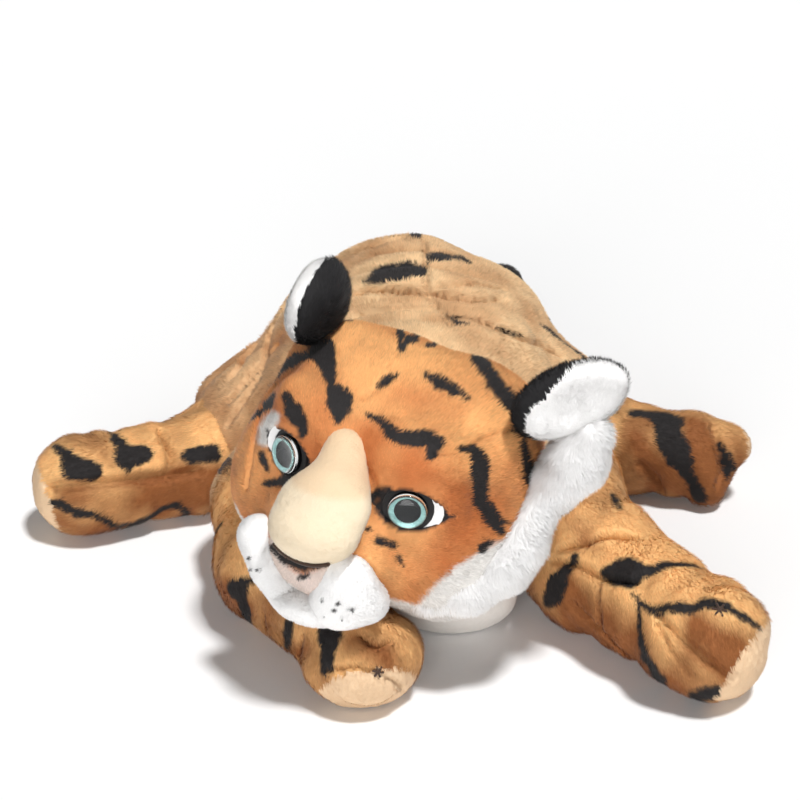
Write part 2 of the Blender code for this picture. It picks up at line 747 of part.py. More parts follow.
def make_ruff(side):
    """The white ruff behind a cheek, from the ear down to the throat."""
    ruff = ruff_form("cheek_ruff_" + side, side)
    cut(ruff, head_form("head side", GAP), ear_form("ear side", side, GAP))
    stand_flat(ruff, RUFF_FLOORS[side])
    finish(ruff, WHITE, pivot=NECK)


def make_head():
    """The head, with the seats for its eyes and the neck."""
    head = head_form("head")
    stand_flat(head, HEAD_REST_HEIGHT)
    for side in MIRROR:
        cut(head, *eye_room(side))
    cut(head, ball("neck socket", NECK,
                   socket_radius(NECK_RADIUS, NECK_SIDES, NECK_SIDES // 2), NECK_SIDES,
                   NECK_SIDES // 2, facing(HEAD.col[0])))
    finish(head, TAN, pivot=NECK)
    make_face()
    for side in MIRROR:
        make_ear(side)
        make_ruff(side)
        make_eye(side)


def make_foreleg(side):
    """Upper and lower foreleg, joined by a ball at the elbow, with sole and toe stitch."""
    elbow, paw = Vector(ELBOWS[side]), Vector(FOREPAWS[side])
    upper = ball("upper_foreleg_" + side, shoulder(side), SHOULDER_RADII[side])
    join(upper, upper_foreleg_form("tube", side))
    cut(upper, ball("elbow socket", elbow, socket_radius(ELBOW_RADII[side])),
        swing_room("lower room", elbow, paw - elbow, ELBOW_SWINGS[side],
                   ELBOW_RADII[side] + GAP, (paw - elbow).length),
        *head_rooms())
    stand_flat(upper)
    finish(upper, TAN, pivot=shoulder(side))
    lower = ball("lower_foreleg_" + side, elbow, ELBOW_RADII[side])
    join(lower, lower_foreleg_form("tube", side))
    cut(lower, *head_rooms())
    stand_flat(lower)
    sole = split_sole(lower, "fore_sole_" + side, lower_foreleg_form("sole", side), paw,
                      FORE_SOLE_FACES[side], FOREPAW_HALF_WIDTHS[side])
    stitch_at = paw + Vector(STITCH_FACES[side]).normalized() * FOREPAW_HALF_WIDTHS[side]
    stitch = ellipsoid("toe_stitch_" + side, stitch_at, STITCH_HALF_SIZES,
                       facing(STITCH_FACES[side]))
    cut(stitch, lower_foreleg_form("paw side", side, GAP))
    finish(lower, TAN, pivot=elbow)
    finish(sole, CREAM, pivot=elbow)
    finish(stitch, BROWN, pivot=elbow)


def make_hind_leg(side):
    """A hind leg with its ball root and its sole."""
    leg = ball("hind_leg_" + side, hip(side), HIP_RADIUS)
    join(leg, hind_leg_form("tube", side))
    stand_flat(leg)
    sole = split_sole(leg, "hind_sole_" + side, hind_leg_form("sole", side), HINDPAWS[side],
                      HIND_SOLE_FACES[side], HINDPAW_RADII[side])
    finish(leg, TAN, pivot=hip(side))
    finish(sole, CREAM, pivot=hip(side))


def tail_point(k):
    """One of the tail's joints, or its tip."""
    return Vector((0.0, TRUNK_REAR_Y, 0.0)) + Vector(TAIL_POINTS[k])


def make_tail():
    """Three stuffed lengths of tail, each with a ball root in the one before it."""
    names = ("tail_root", "tail_middle", "tail_tip")
    colours = (TAN, TAN, BLACK)
    for k, name in enumerate(names):
        start, end = tail_point(k), tail_point(k + 1)
        length = ball(name, start, TAIL_RADII[k])
        radii = (TAIL_RADII[k] * ROOT_SHARE, TAIL_RADII[k + 1] * ROOT_SHARE)
        join(length, tapered("tube", start, end, radii, radii))
        if k + 1 < len(names):
            after = tail_point(k + 2) - end
            cut(length, ball("socket", end, socket_radius(TAIL_RADII[k + 1])),
                swing_room("room", end, after, TAIL_SWINGS[k + 1], TAIL_RADII[k + 1] + GAP,
                           after.length))
        stand_flat(length)
        finish(length, colours[k], pivot=start)


def main():
    """Builds the toy."""
    for obj in list(bpy.data.objects):
        bpy.data.objects.remove(obj)
    make_trunk()
    make_belly()
    make_neck()
    make_head()
    for side in MIRROR:
        make_foreleg(side)
        make_hind_leg(side)
    make_tail()


main()
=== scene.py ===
import logging
import math
from dataclasses import dataclass
from enum import Enum
from typing import Callable, Iterable, Optional, Sequence

import bpy
import numpy as np
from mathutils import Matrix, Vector
from mathutils.bvhtree import BVHTree


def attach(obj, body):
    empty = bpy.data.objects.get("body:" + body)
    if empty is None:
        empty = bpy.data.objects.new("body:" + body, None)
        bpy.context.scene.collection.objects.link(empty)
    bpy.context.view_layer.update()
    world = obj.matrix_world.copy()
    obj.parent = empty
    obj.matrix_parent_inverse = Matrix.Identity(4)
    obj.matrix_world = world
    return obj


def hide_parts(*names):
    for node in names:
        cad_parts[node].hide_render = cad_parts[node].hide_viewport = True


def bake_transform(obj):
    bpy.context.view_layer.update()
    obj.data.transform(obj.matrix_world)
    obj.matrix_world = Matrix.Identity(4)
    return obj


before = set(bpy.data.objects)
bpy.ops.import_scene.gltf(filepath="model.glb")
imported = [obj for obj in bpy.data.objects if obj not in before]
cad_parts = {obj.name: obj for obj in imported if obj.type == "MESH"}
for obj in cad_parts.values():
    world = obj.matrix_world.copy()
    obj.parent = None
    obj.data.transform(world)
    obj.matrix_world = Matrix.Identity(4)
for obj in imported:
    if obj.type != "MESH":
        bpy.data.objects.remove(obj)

LOG = logging.getLogger("plush_tiger")
Point = tuple[float, float, float]
Flow = Callable[[np.ndarray], np.ndarray]

HEAD_AT: Point = (-0.012, -0.160, 0.118)
HEAD_TURN, HEAD_LIFT, HEAD_TILT = 27.0, 4.0, 12.0
EYE_AT: Point = (0.0400, 0.0660, 0.0180)
EYE_SPREAD = 22.0
SIDES = {"left": 1.0, "right": -1.0}
MILLI = 0.001
PUCKER_MIDDLE = 0.40
ROOT_DEPTH = 0.0006
LOWEST_STRAND = 0.0004
STITCH_REACH = 0.004
STITCH_HEADING = (0.2, 0.4, 0.9)


class View(Enum):
    """Where a mark is drawn from."""

    PHOTO = "photo"
    ABOVE = "above"
    BEHIND = "behind"
    LEFT = "left"
    RIGHT = "right"
    FRONT = "front"


@dataclass(frozen=True)
class PhotoCamera:
    """The camera of the photograph, in the part's frame."""

    place: Point = (-0.008, -1.2921, 0.7154)
    dip: float = 26.0
    view: float = 21.6
    size: float = 800.0

    @property
    def focus(self) -> float:
        """The focal length in pixels."""
        return self.size / 2 / math.tan(math.radians(self.view / 2))

    def ray(self, x: float, y: float) -> tuple[Vector, Vector]:
        """The line of sight through a pixel.

        Args:
            x: pixels from the image's left.
            y: pixels from its top.
        Returns:
            The camera's place and the direction.
        """
        dip = math.radians(self.dip)
        ahead = Vector((0.0, math.cos(dip), -math.sin(dip)))
        right = Vector((1.0, 0.0, 0.0))
        upward = right.cross(ahead)
        half = self.size / 2
        way = ahead * self.focus + right * (x - half) + upward * (half - y)
        return Vector(self.place), way.normalized()

    def flat(self, points: np.ndarray) -> np.ndarray:
        """Where points show in the image, in pixels."""
        c, s = math.cos(math.radians(self.dip)), math.sin(math.radians(self.dip))
        seen = points - np.array(self.place)
        depth = seen[:, 1] * c - seen[:, 2] * s
        height = seen[:, 1] * s + seen[:, 2] * c
        scaled = np.stack((seen[:, 0], -height), 1) * self.focus / depth[:, None]
        return scaled + self.size / 2

    def build(self) -> None:
        """Makes the camera and looks through it."""
        data = bpy.data.cameras.new("photo_camera")
        data.angle = math.radians(self.view)
        data.clip_end = 20.0
        camera = bpy.data.objects.new("photo_camera", data)
        camera.location = self.place
        camera.rotation_euler = (math.radians(90.0 - self.dip), 0.0, 0.0)
        bpy.context.scene.collection.objects.link(camera)
        bpy.context.scene.camera = camera


CAMERA = PhotoCamera()


def length(vectors: np.ndarray) -> np.ndarray:
    """How long each row is."""
    return np.sqrt(np.einsum("ij,ij->i", vectors, vectors))


def unit(vectors: np.ndarray) -> np.ndarray:
    """The vectors at length one."""
    return vectors / np.maximum(np.linalg.norm(vectors, axis=-1, keepdims=True), 1e-9)


def turn_about(axis: int, degrees: float) -> np.ndarray:
    """A turn about one of the three directions.

    Args:
        axis: 0, 1 or 2.
        degrees: how far.
    Returns:
        A 3 by 3 matrix.
    """
    c, s = math.cos(math.radians(degrees)), math.sin(math.radians(degrees))
    a, b = [(1, 2), (2, 0), (0, 1)][axis]
    turn = np.eye(3)
    turn[a, a], turn[a, b], turn[b, a], turn[b, b] = c, -s, s, c
    return turn


def turned(spread: float = 0.0, slope: float = 0.0, lean: float = 0.0) -> np.ndarray:
    """A frame turned about up, then left, then forward, in degrees."""
    return turn_about(2, -spread) @ turn_about(0, slope) @ turn_about(1, lean)


def head_axes() -> np.ndarray:
    """The head's left, forward and up, as columns."""
    turn, lift, tilt = (math.radians(v) for v in (HEAD_TURN, HEAD_LIFT, HEAD_TILT))
    forward = np.array((-math.sin(turn) * math.cos(lift), -math.cos(turn) * math.cos(lift),
                        math.sin(lift)))
    level = np.array((math.cos(turn), -math.sin(turn), 0.0))
    upright = -np.cross(forward, level)
    upright = upright if upright[2] > 0 else -upright
    left = level * math.cos(tilt) - upright * math.sin(tilt)
    upward = level * math.sin(tilt) + upright * math.cos(tilt)
    return np.stack((left, forward, upward), 1)


HEAD = head_axes()


def on_head(place: Sequence[float]) -> np.ndarray:
    """A place in the head's directions, in the part's frame."""
    return np.array(HEAD_AT) + HEAD @ np.array(place, float)


def lattice(points: np.ndarray, size: float, seed: int, width: int = 3) -> np.ndarray:
    """Smooth noise that is the same on every run.

    Args:
        points: where, N by 3.
        size: how wide one lump is, in metres.
        seed: which noise.
        width: how many values per point.
    Returns:
        N by width values from -1 to 1.
    """
    table = np.random.default_rng(seed).uniform(-1, 1, (32, 32, 32, width))
    scaled = points / size
    cell = np.floor(scaled).astype(int)
    part = scaled - cell
    part = part * part * (3 - 2 * part)
    share = [(1 - part[:, k], part[:, k]) for k in range(3)]
    place = [(cell[:, k] & 31, cell[:, k] + 1 & 31) for k in range(3)]
    total = np.zeros((len(points), width))
    for corner in range(8):
        a, b, c = corner & 1, corner >> 1 & 1, corner >> 2 & 1
        weight = share[0][a] * share[1][b] * share[2][c]
        total += weight[:, None] * table[place[0][a], place[1][b], place[2][c]]
    return total


def soft_min(a: np.ndarray, b: np.ndarray, softness: float) -> np.ndarray:
    """The smaller of two distances, rounded where they meet."""
    share = np.clip(0.5 + 0.5 * (b - a) / softness, 0, 1)
    return b * (1 - share) + a * share - softness * share * (1 - share)


@dataclass(frozen=True)
class Mound:
    """An ellipsoid of stuffing. With dent set, it hollows it out of what comes before."""

    centre: Point
    radii: Point
    softness: float = 0.03
    spread: float = 0.0
    slope: float = 0.0
    lean: float = 0.0
    dent: bool = False

    def distance(self, points: np.ndarray) -> np.ndarray:
        """How far each point is outside the mound."""
        local = (points - np.array(self.centre)) @ turned(self.spread, self.slope, self.lean)
        radii = np.array(self.radii)
        near = length(local / radii)
        steep = length(local / radii ** 2)
        return near * (near - 1) / np.maximum(steep, 1e-9)


@dataclass(frozen=True)
class Roll:
    """A tapering roll of stuffing from one place to another."""

    start: Point
    end: Point
    radii: tuple[float, float]
    softness: float = 0.02
    dent: bool = False

    def distance(self, points: np.ndarray) -> np.ndarray:
        """How far each point is outside the roll."""
        start, along = np.array(self.start), np.array(self.end) - np.array(self.start)
        share = np.clip((points - start) @ along / (along @ along), 0, 1)
        reach = length(points - start - share[:, None] * along)
        return reach - (self.radii[0] + (self.radii[1] - self.radii[0]) * share)


@dataclass
class Form:
    """A stuffed form: mounds and rolls that run into each other, flat where it lies."""

    parts: tuple
    floor: float = 0.002
    on_head: bool = False
    wrinkles: float = 0.0
    lumps: float = 0.025
    puckers: float = 0.0
    spacing: float = 0.034
    grain: Point = (0.0, 1.0, 0.0)
    cut: Optional[Callable[[np.ndarray], np.ndarray]] = None

    def distance(self, points: np.ndarray) -> np.ndarray:
        """How far each point is outside the form."""
        local = (points - np.array(HEAD_AT)) @ HEAD if self.on_head else points
        total = self.parts[0].distance(local)
        for part in self.parts[1:]:
            if part.dent:
                total = -soft_min(-total, part.distance(local), part.softness)
            else:
                total = soft_min(total, part.distance(local), part.softness)
        near = np.abs(total) < 0.014
        total[near] += self._relief(points[near])
        if self.cut is not None:
            total = np.maximum(total, self.cut(local))
        return np.maximum(total, (self.floor - points[:, 2]))

    def _relief(self, points: np.ndarray) -> np.ndarray:
        """How much lower than the smooth form each point's surface is, in metres."""
        total = np.zeros(len(points))
        if self.wrinkles:
            total += self.wrinkles * lattice(points, self.lumps, 7, 1)[:, 0]
        if self.puckers:
            total += self.puckers * (self.valleys(points) - PUCKER_MIDDLE)
        return total

    def valleys(self, points: np.ndarray) -> np.ndarray:
        """How deep in a pucker each point is, from 0 to 1."""
        way = unit(np.array(self.grain))
        along = (points @ way)[:, None] * way
        ridges = lattice(along + (points - along) * 0.42, self.spacing, 9, 1)[:, 0]
        return 1.0 - np.minimum(np.sqrt(ridges ** 2 + 0.006) * 2.1, 1.0)

    def normals(self, points: np.ndarray, step: float = 0.0008) -> np.ndarray:
        """The outward direction at each point."""
        slopes = [self.distance(points + step * axis) - self.distance(points - step * axis)
                  for axis in np.eye(3)]
        return unit(np.stack(slopes, 1))


@dataclass
class Skin:
    """A surface of points and four-sided faces."""

    points: np.ndarray
    faces: np.ndarray
    normals: np.ndarray

    def part(self, keep: np.ndarray) -> "Skin":
        """The faces that are kept, with their points."""
        faces = self.faces[keep]
        used, where = np.unique(faces, return_inverse=True)
        return Skin(self.points[used], where.reshape(faces.shape), self.normals[used])

    def centres(self) -> np.ndarray:
        """The middle of each face."""
        return self.points[self.faces].mean(1)


def wrap(form: Form, low: Point, high: Point, step: float) -> Skin:
    """A surface round a form.

    Args:
        form: what is wrapped.
        low: lowest corner of the space that is searched.
        high: highest corner.
        step: size of a face, in metres.
    Returns:
        The surface, with its faces turned outwards.
    """
    counts = np.ceil((np.array(high) - np.array(low)) / step).astype(int) + 1
    axes = [low[k] + step * np.arange(counts[k]) for k in range(3)]
    grid = np.stack(np.meshgrid(*axes, indexing="ij"), -1).reshape(-1, 3)
    field_ = form.distance(grid).reshape(counts)
    inside = field_ < 0
    cells = counts - 1

    def corner(values: np.ndarray, shift: Sequence[int]) -> np.ndarray:
        """The values at one corner of every cell."""
        return values[tuple(slice(s, s + n) for s, n in zip(shift, cells))]

    shifts = [(x, y, z) for x in (0, 1) for y in (0, 1) for z in (0, 1)]
    total = sum(corner(inside, s).astype(int) for s in shifts)
    mixed = (total > 0) & (total < 8)
    where = np.argwhere(mixed)
    number = np.full(tuple(cells), -1)
    number[mixed] = np.arange(len(where))
    sums, hits = np.zeros((len(where), 3)), np.zeros(len(where))
    for shift in shifts:
        for axis in range(3):
            if shift[axis]:
                continue
            other = tuple(s + (k == axis) for k, s in enumerate(shift))
            a, b = corner(field_, shift)[mixed], corner(field_, other)[mixed]
            crosses = (a < 0) != (b < 0)
            share = np.where(crosses, a / np.where(crosses, a - b, 1), 0)
            place = np.tile(np.array(shift, float), (len(where), 1))
            place[:, axis] += share
            sums[crosses] += place[crosses]
            hits[crosses] += 1
    points = np.array(low) + step * (where + sums / hits[:, None])
    faces = []
    for axis in range(3):
        a, b = [k for k in range(3) if k != axis]
        first = [slice(None)] * 3
        second = [slice(None)] * 3
        first[axis], second[axis] = slice(0, -1), slice(1, None)
        crossing = np.argwhere(inside[tuple(first)] != inside[tuple(second)])
        room = np.all([(crossing[:, k] > 0) & (crossing[:, k] < cells[k]) for k in (a, b)], 0)
        crossing = crossing[room]
        ring = []
        for da, db in ((-1, -1), (0, -1), (0, 0), (-1, 0)):
            spot = crossing.copy()
            spot[:, a] += da
            spot[:, b] += db
            ring.append(number[tuple(spot.T)])
        faces.append(np.stack(ring, 1))
    faces = np.concatenate(faces)
    for _ in range(2):
        miss = np.clip(form.distance(points), -step, step)[:, None]
        points = points - form.normals(points) * miss
    normals = form.normals(points)
    a, b, c, d = (points[faces[:, k]] for k in range(4))
    inward = np.einsum("ij,ij->i", np.cross(c - a, d - b), normals[faces].mean(1)) < 0
    faces[inward] = faces[inward][:, ::-1]
    return Skin(points, faces, normals)


@dataclass(frozen=True)
class Mark:
    """A stripe or spot, drawn as a line from one side, in pixels or millimetres."""

    path: tuple
    widths: tuple = (8.0,)
    view: View = View.PHOTO


def flattened(points: np.ndarray, view: View) -> np.ndarray:
    """Points as a view shows them, in pixels or millimetres."""
    if view is View.PHOTO:
        return CAMERA.flat(points)
    across = {View.ABOVE: (0, 1), View.LEFT: (1, 2), View.RIGHT: (1, 2)}.get(view, (0, 2))
    return points[:, across] / MILLI


@dataclass(frozen=True)
class Run:
    """A straight length of a mark, as it is drawn and where it lies."""

    view: View
    start: np.ndarray
    end: np.ndarray
    halves: tuple[float, float]
    places: tuple[np.ndarray, np.ndarray]
    scale: float

    def share(self, points: np.ndarray, start: np.ndarray, end: np.ndarray
              ) -> tuple[np.ndarray, np.ndarray]:
        """How far along a line the nearest place to each point is, and the distance."""
        along = end - start
        share = np.clip((points - start) @ along / max(along @ along, 1e-12), 0, 1)
        return share, np.linalg.norm(points - start - share[:, None] * along, axis=1)

    def inside(self, flat: np.ndarray) -> np.ndarray:
        """How far points that are drawn in the run's view are inside it, in metres."""
        share, reach = self.share(flat, self.start, self.end)
        half = self.halves[0] + (self.halves[1] - self.halves[0]) * share
        return (half - reach) * self.scale

    def ratio(self, points: np.ndarray) -> np.ndarray:
        """Distance from the run over its half width, in space."""
        share, reach = self.share(points, *self.places)
        half = self.halves[0] + (self.halves[1] - self.halves[0]) * share
        return reach / (half * self.scale)


class Markings:
    """The marks of one piece, laid on its surface."""

    def __init__(self, skin: Skin, marks: Iterable[Mark], edge: float = 0.0012) -> None:
        """Casts each mark onto the surface.

        Args:
            skin: the surface.
            marks: what is drawn on it.
            edge: how soft the marks' edges are, in metres.
        """
        self.edge = edge
        self.runs: list[Run] = []
        tree = BVHTree.FromPolygons([Vector(p) for p in skin.points], skin.faces.tolist())
        for mark in marks:
            self._cast(tree, mark)

    def _cast(self, tree: BVHTree, mark: Mark) -> None:
        """Lays one mark on the surface."""
        path = np.array(mark.path, float)
        if len(path) == 1:
            path = np.repeat(path, 2, 0) + np.array(((-0.5, 0.0), (0.5, 0.0)))
        lengths = np.concatenate(((0,), np.cumsum(np.linalg.norm(np.diff(path, axis=0), axis=1))))
        steps = np.linspace(0, lengths[-1], max(2, int(lengths[-1] / 5) + 1))
        xs, ys = (np.interp(steps, lengths, path[:, k]) for k in (0, 1))
        shares = np.linspace(0, 1, len(mark.widths))
        wide = np.interp(steps / lengths[-1], shares, mark.widths) / 2
        last = None
        for x, y, half in zip(xs, ys, wide):
            origin, way = self._sight(mark.view, x, y)
            hit = tree.ray_cast(origin, way)
            if hit[0] is None:
                last = None
                continue
            scale = hit[3] / CAMERA.focus if mark.view is View.PHOTO else MILLI
            here = (np.array((x, y)), half, np.array(hit[0]))
            if last is not None and np.linalg.norm(last[2] - here[2]) < 0.03:
                self.runs.append(Run(mark.view, last[0], here[0], (last[1], here[1]),
                                     (last[2], here[2]), scale))
            last = here

    @staticmethod
    def _sight(view: View, x: float, y: float) -> tuple[Vector, Vector]:
        """The line of sight of a point of a mark."""
        if view is View.PHOTO:
            return CAMERA.ray(x, y)
        x, y = x * MILLI, y * MILLI
        return {
            View.ABOVE: (Vector((x, y, 0.6)), Vector((0.0, 0.0, -1.0))),
            View.BEHIND: (Vector((x, 0.8, y)), Vector((0.0, -1.0, 0.0))),
            View.FRONT: (Vector((x, -0.8, y)), Vector((0.0, 1.0, 0.0))),
            View.LEFT: (Vector((0.8, x, y)), Vector((-1.0, 0.0, 0.0))),
            View.RIGHT: (Vector((-0.8, x, y)), Vector((1.0, 0.0, 0.0))),
        }[view]

    def mask(self, points: np.ndarray) -> np.ndarray:
        """How much each point is marked, from 0 to 1."""
        depth = np.full(len(points), -1.0)
        flats = {view: flattened(points, view) for view in {run.view for run in self.runs}}
        for run in self.runs:
            middle = (run.places[0] + run.places[1]) / 2
            room = 0.013 + 3.0 * max(run.halves) * run.scale
            near = np.nonzero(length(points - middle) < room)[0]
            depth[near] = np.maximum(depth[near], run.inside(flats[run.view][near]))
        depth = depth + 0.0011 * lattice(points, 0.005, 11, 1)[:, 0]
        return np.clip(0.5 + depth / self.edge, 0, 1)


class Creases:
    """Folds and seams pressed into a skin, drawn the same way as marks."""

    def __init__(self, marks: Iterable[Mark], depth: float = 0.004) -> None:
        """Keeps the folds.

        Args:
            marks: the lines; a mark's width is the width of its fold.
            depth: how deep they are, in metres.
        """
        self.marks, self.depth = tuple(marks), depth

    def press(self, skin: Skin) -> Skin:
        """The skin with its folds."""
        self.laid = Markings(skin, self.marks)
        drop = np.zeros(len(skin.points))
        for run in self.laid.runs:
            ratio = run.ratio(skin.points)
            drop = np.maximum(drop, np.exp(-ratio ** 2) - 0.35 * np.exp(-(ratio - 1.7) ** 2))
        points = skin.points - skin.normals * (self.depth * drop)[:, None]
        points[:, 2] = np.where(skin.points[:, 2] < 0.006, skin.points[:, 2], points[:, 2])
        return Skin(points, skin.faces, face_normals(points, skin.faces))

    def shade(self, points: np.ndarray) -> np.ndarray:
        """How much each point is in a fold, from 0 to 1, where the coats paint shade."""
        total = np.zeros(len(points))
        for run in self.laid.runs:
            middle = (run.places[0] + run.places[1]) / 2
            near = np.nonzero(length(points - middle) < 0.034)[0]
            total[near] = np.maximum(total[near], np.exp(-run.ratio(points[near]) ** 2 * 1.5))
        return total


def face_normals(points: np.ndarray, faces: np.ndarray) -> np.ndarray:
    """The outward direction at each point, from the faces round it."""
    a, b, c, d = (points[faces[:, k]] for k in range(4))
    across = np.cross(c - a, d - b)
    total = np.zeros_like(points)
    for k in range(4):
        np.add.at(total, faces[:, k], across)
    return unit(total)


@dataclass(frozen=True)
class Pile:
    """The strands of a pile fabric."""

    length: float = 0.0038
    width: float = 0.00046
    density: float = 1.15
    lean: float = 2.2
    tangle: float = 0.24
    spread: float = 0.26


def mesh_object(name: str, points: np.ndarray, faces: Iterable,
                normals: Optional[np.ndarray] = None,
                values: Optional[dict] = None) -> bpy.types.Object:
    """A smooth mesh object with its own normals and per-point values.

    Args:
        name: the piece's name.
        points: N by 3.
        faces: lists of point numbers.
        normals: one per point.
        values: per-point values by name.
    Returns:
        The object, linked to the scene.
    """
    mesh = bpy.data.meshes.new(name)
    sizes = [len(f) for f in faces] if not isinstance(faces, np.ndarray) else None
    flat = np.concatenate([np.asarray(f) for f in faces]) if sizes else faces.ravel()
    sizes = np.array(sizes) if sizes else np.full(len(faces), faces.shape[1])
    mesh.vertices.add(len(points))
    mesh.vertices.foreach_set("co", np.asarray(points, np.float32).ravel())
    mesh.loops.add(len(flat))
    mesh.loops.foreach_set("vertex_index", flat.astype(np.int32))
    mesh.polygons.add(len(sizes))
    starts = np.concatenate(((0,), np.cumsum(sizes)[:-1])).astype(np.int32)
    mesh.polygons.foreach_set("loop_start", starts)
    mesh.update(calc_edges=True)
    mesh.polygons.foreach_set("use_smooth", np.ones(len(sizes), bool))
    for key, value in (values or {}).items():
        attribute = mesh.attributes.new(key, "FLOAT", "POINT")
        attribute.data.foreach_set("value", np.asarray(value, np.float32))
    if normals is not None:
        mesh.normals_split_custom_set_from_vertices(np.asarray(normals, np.float32))
    obj = bpy.data.objects.new(name, mesh)
    bpy.context.scene.collection.objects.link(obj)
    return obj


class Furrier:
    """Sets strands into a skin."""

    def __init__(self, pile: Pile, flow: Flow, seed: int) -> None:
        """Keeps what the strands are like.

        Args:
            pile: their sizes.
            flow: which way they are combed, at each point.
            seed: makes the layout repeatable.
        """
        self.pile, self.flow = pile, flow
        self.random = np.random.default_rng(seed)

    def roots(self, skin: Skin, keep: Callable[[np.ndarray], np.ndarray]
              ) -> tuple[np.ndarray, np.ndarray]:
        """Where strands start.

        Args:
            skin: the surface.
            keep: which of the places carry a strand.
        Returns:
            Places and outward directions.
        """
        a, b, c, d = (skin.points[skin.faces[:, k]] for k in range(4))
        areas = np.linalg.norm(np.cross(c - a, d - b), axis=1) / 2
        share = 1.0
        count = int(areas.sum() * 1e6 * self.pile.density * share)
        picked = self.random.choice(len(areas), count, p=areas / areas.sum())
        u, v = self.random.random((2, count, 1))
        corners = skin.faces[picked]
        weights = ((1 - u) * (1 - v), u * (1 - v), u * v, (1 - u) * v)
        places = sum(w * skin.points[corners[:, k]] for k, w in enumerate(weights))
        outward = unit(sum(w * skin.normals[corners[:, k]] for k, w in enumerate(weights)))
        kept = keep(places)
        return places[kept], outward[kept]

    def strands(self, name: str, places: np.ndarray, outward: np.ndarray, values: dict,
                lengths: Optional[np.ndarray] = None) -> bpy.types.Object:
        """Makes one mesh of tapered strands.

        Args:
            name: the piece's name.
            places: the roots.
            outward: the skin's direction at each root.
            values: per-root values, such as marks.
            lengths: a factor on each strand's length.
        Returns:
            The mesh object.
        """
        pile, count = self.pile, len(places)
        comb = self.flow(places)
        comb = comb - outward * np.einsum("ij,ij->i", comb, outward)[:, None]
        comb = unit(comb) + 0.30 * lattice(places, 0.026, 3)
        tufts = lattice(places, 0.0065, 5) + 0.6 * lattice(places, 0.0028, 6)
        stray = self.random.normal(0, 1, (count, 3))
        way = unit(outward + pile.lean * comb + pile.tangle * tufts + pile.spread * stray * 0.6)
        low = np.einsum("ij,ij->i", way, outward)
        way = unit(way + outward * np.clip(0.26 - low, 0, None)[:, None])
        start = unit(outward * 0.45 + way)
        reach = pile.length * self.random.uniform(0.7, 1.15, count)
        if lengths is not None:
            reach = reach * lengths
        across = unit(np.cross(way, outward) + 0.22 * self.random.normal(0, 1, (count, 3)))
        facing = np.einsum("ij,ij->i", np.cross(across, way), outward)
        across = across * np.where(facing < 0, -1.0, 1.0)[:, None]
        half = pile.width / 2 * self.random.uniform(0.7, 1.3, (count, 1))
        root = places - outward * ROOT_DEPTH
        middle = root + start * (reach * 0.45)[:, None]
        tip = middle + way * (reach * 0.62)[:, None]
        points = np.stack((root - across * half, root + across * half,
                           middle - across * half * 0.85, middle + across * half * 0.85, tip), 1)
        points[..., 2] = np.maximum(points[..., 2], LOWEST_STRAND)
        shade = unit(outward + 0.24 * tufts + 0.09 * stray + 0.14 * way)
        normals = np.repeat(shade[:, None], 5, 1)
        base = 5 * np.arange(count)[:, None]
        quads = base + np.array((0, 1, 3, 2))
        tips = base + np.array((2, 3, 4))
        flat = np.concatenate((quads, tips), 1).ravel()
        carried = {key: np.repeat(value, 5) for key, value in values.items()}
        # Place along each strand, which sets its painted root shade.
        carried["tip"] = np.tile((0.0, 0.0, 0.6, 0.6, 1.0), count)
        carried["tone"] = np.repeat(self.random.random(count), 5)
        return self._mesh(name, points.reshape(-1, 3), flat, normals.reshape(-1, 3), carried)

    @staticmethod
    def _mesh(name: str, points: np.ndarray, flat: np.ndarray, normals: np.ndarray,
              values: dict) -> bpy.types.Object:
        """Turns strands into a mesh, each in a cell of its own of the bake layout."""
        count = len(points) // 5
        mesh = bpy.data.meshes.new(name)
        mesh.vertices.add(len(points))
        mesh.vertices.foreach_set("co", points.astype(np.float32).ravel())
        mesh.loops.add(len(flat))
        mesh.loops.foreach_set("vertex_index", flat.astype(np.int32))
        mesh.polygons.add(2 * count)
        starts = (7 * np.arange(count)[:, None] + np.array((0, 4))).ravel()
        mesh.polygons.foreach_set("loop_start", starts.astype(np.int32))
        mesh.update(calc_edges=True)
        mesh.polygons.foreach_set("use_smooth", np.ones(2 * count, bool))
        for key, value in values.items():
            attribute = mesh.attributes.new(key, "FLOAT", "POINT")
            attribute.data.foreach_set("value", value.astype(np.float32))
        rows = math.ceil(math.sqrt(count))
        cells = np.stack(np.divmod(np.arange(count), rows), 1)[:, None]
        inner = np.array(((.1, .1), (.9, .1), (.8, .5), (.2, .5), (.2, .5), (.8, .5), (.5, .9)))
        layer = mesh.uv_layers.new(name="OFBake")
        layer.data.foreach_set("uv", ((cells + inner) / rows).astype(np.float32).ravel())
        mesh.normals_split_custom_set_from_vertices(normals.astype(np.float32))
        obj = bpy.data.objects.new(name, mesh)
        bpy.context.scene.collection.objects.link(obj)
        return obj


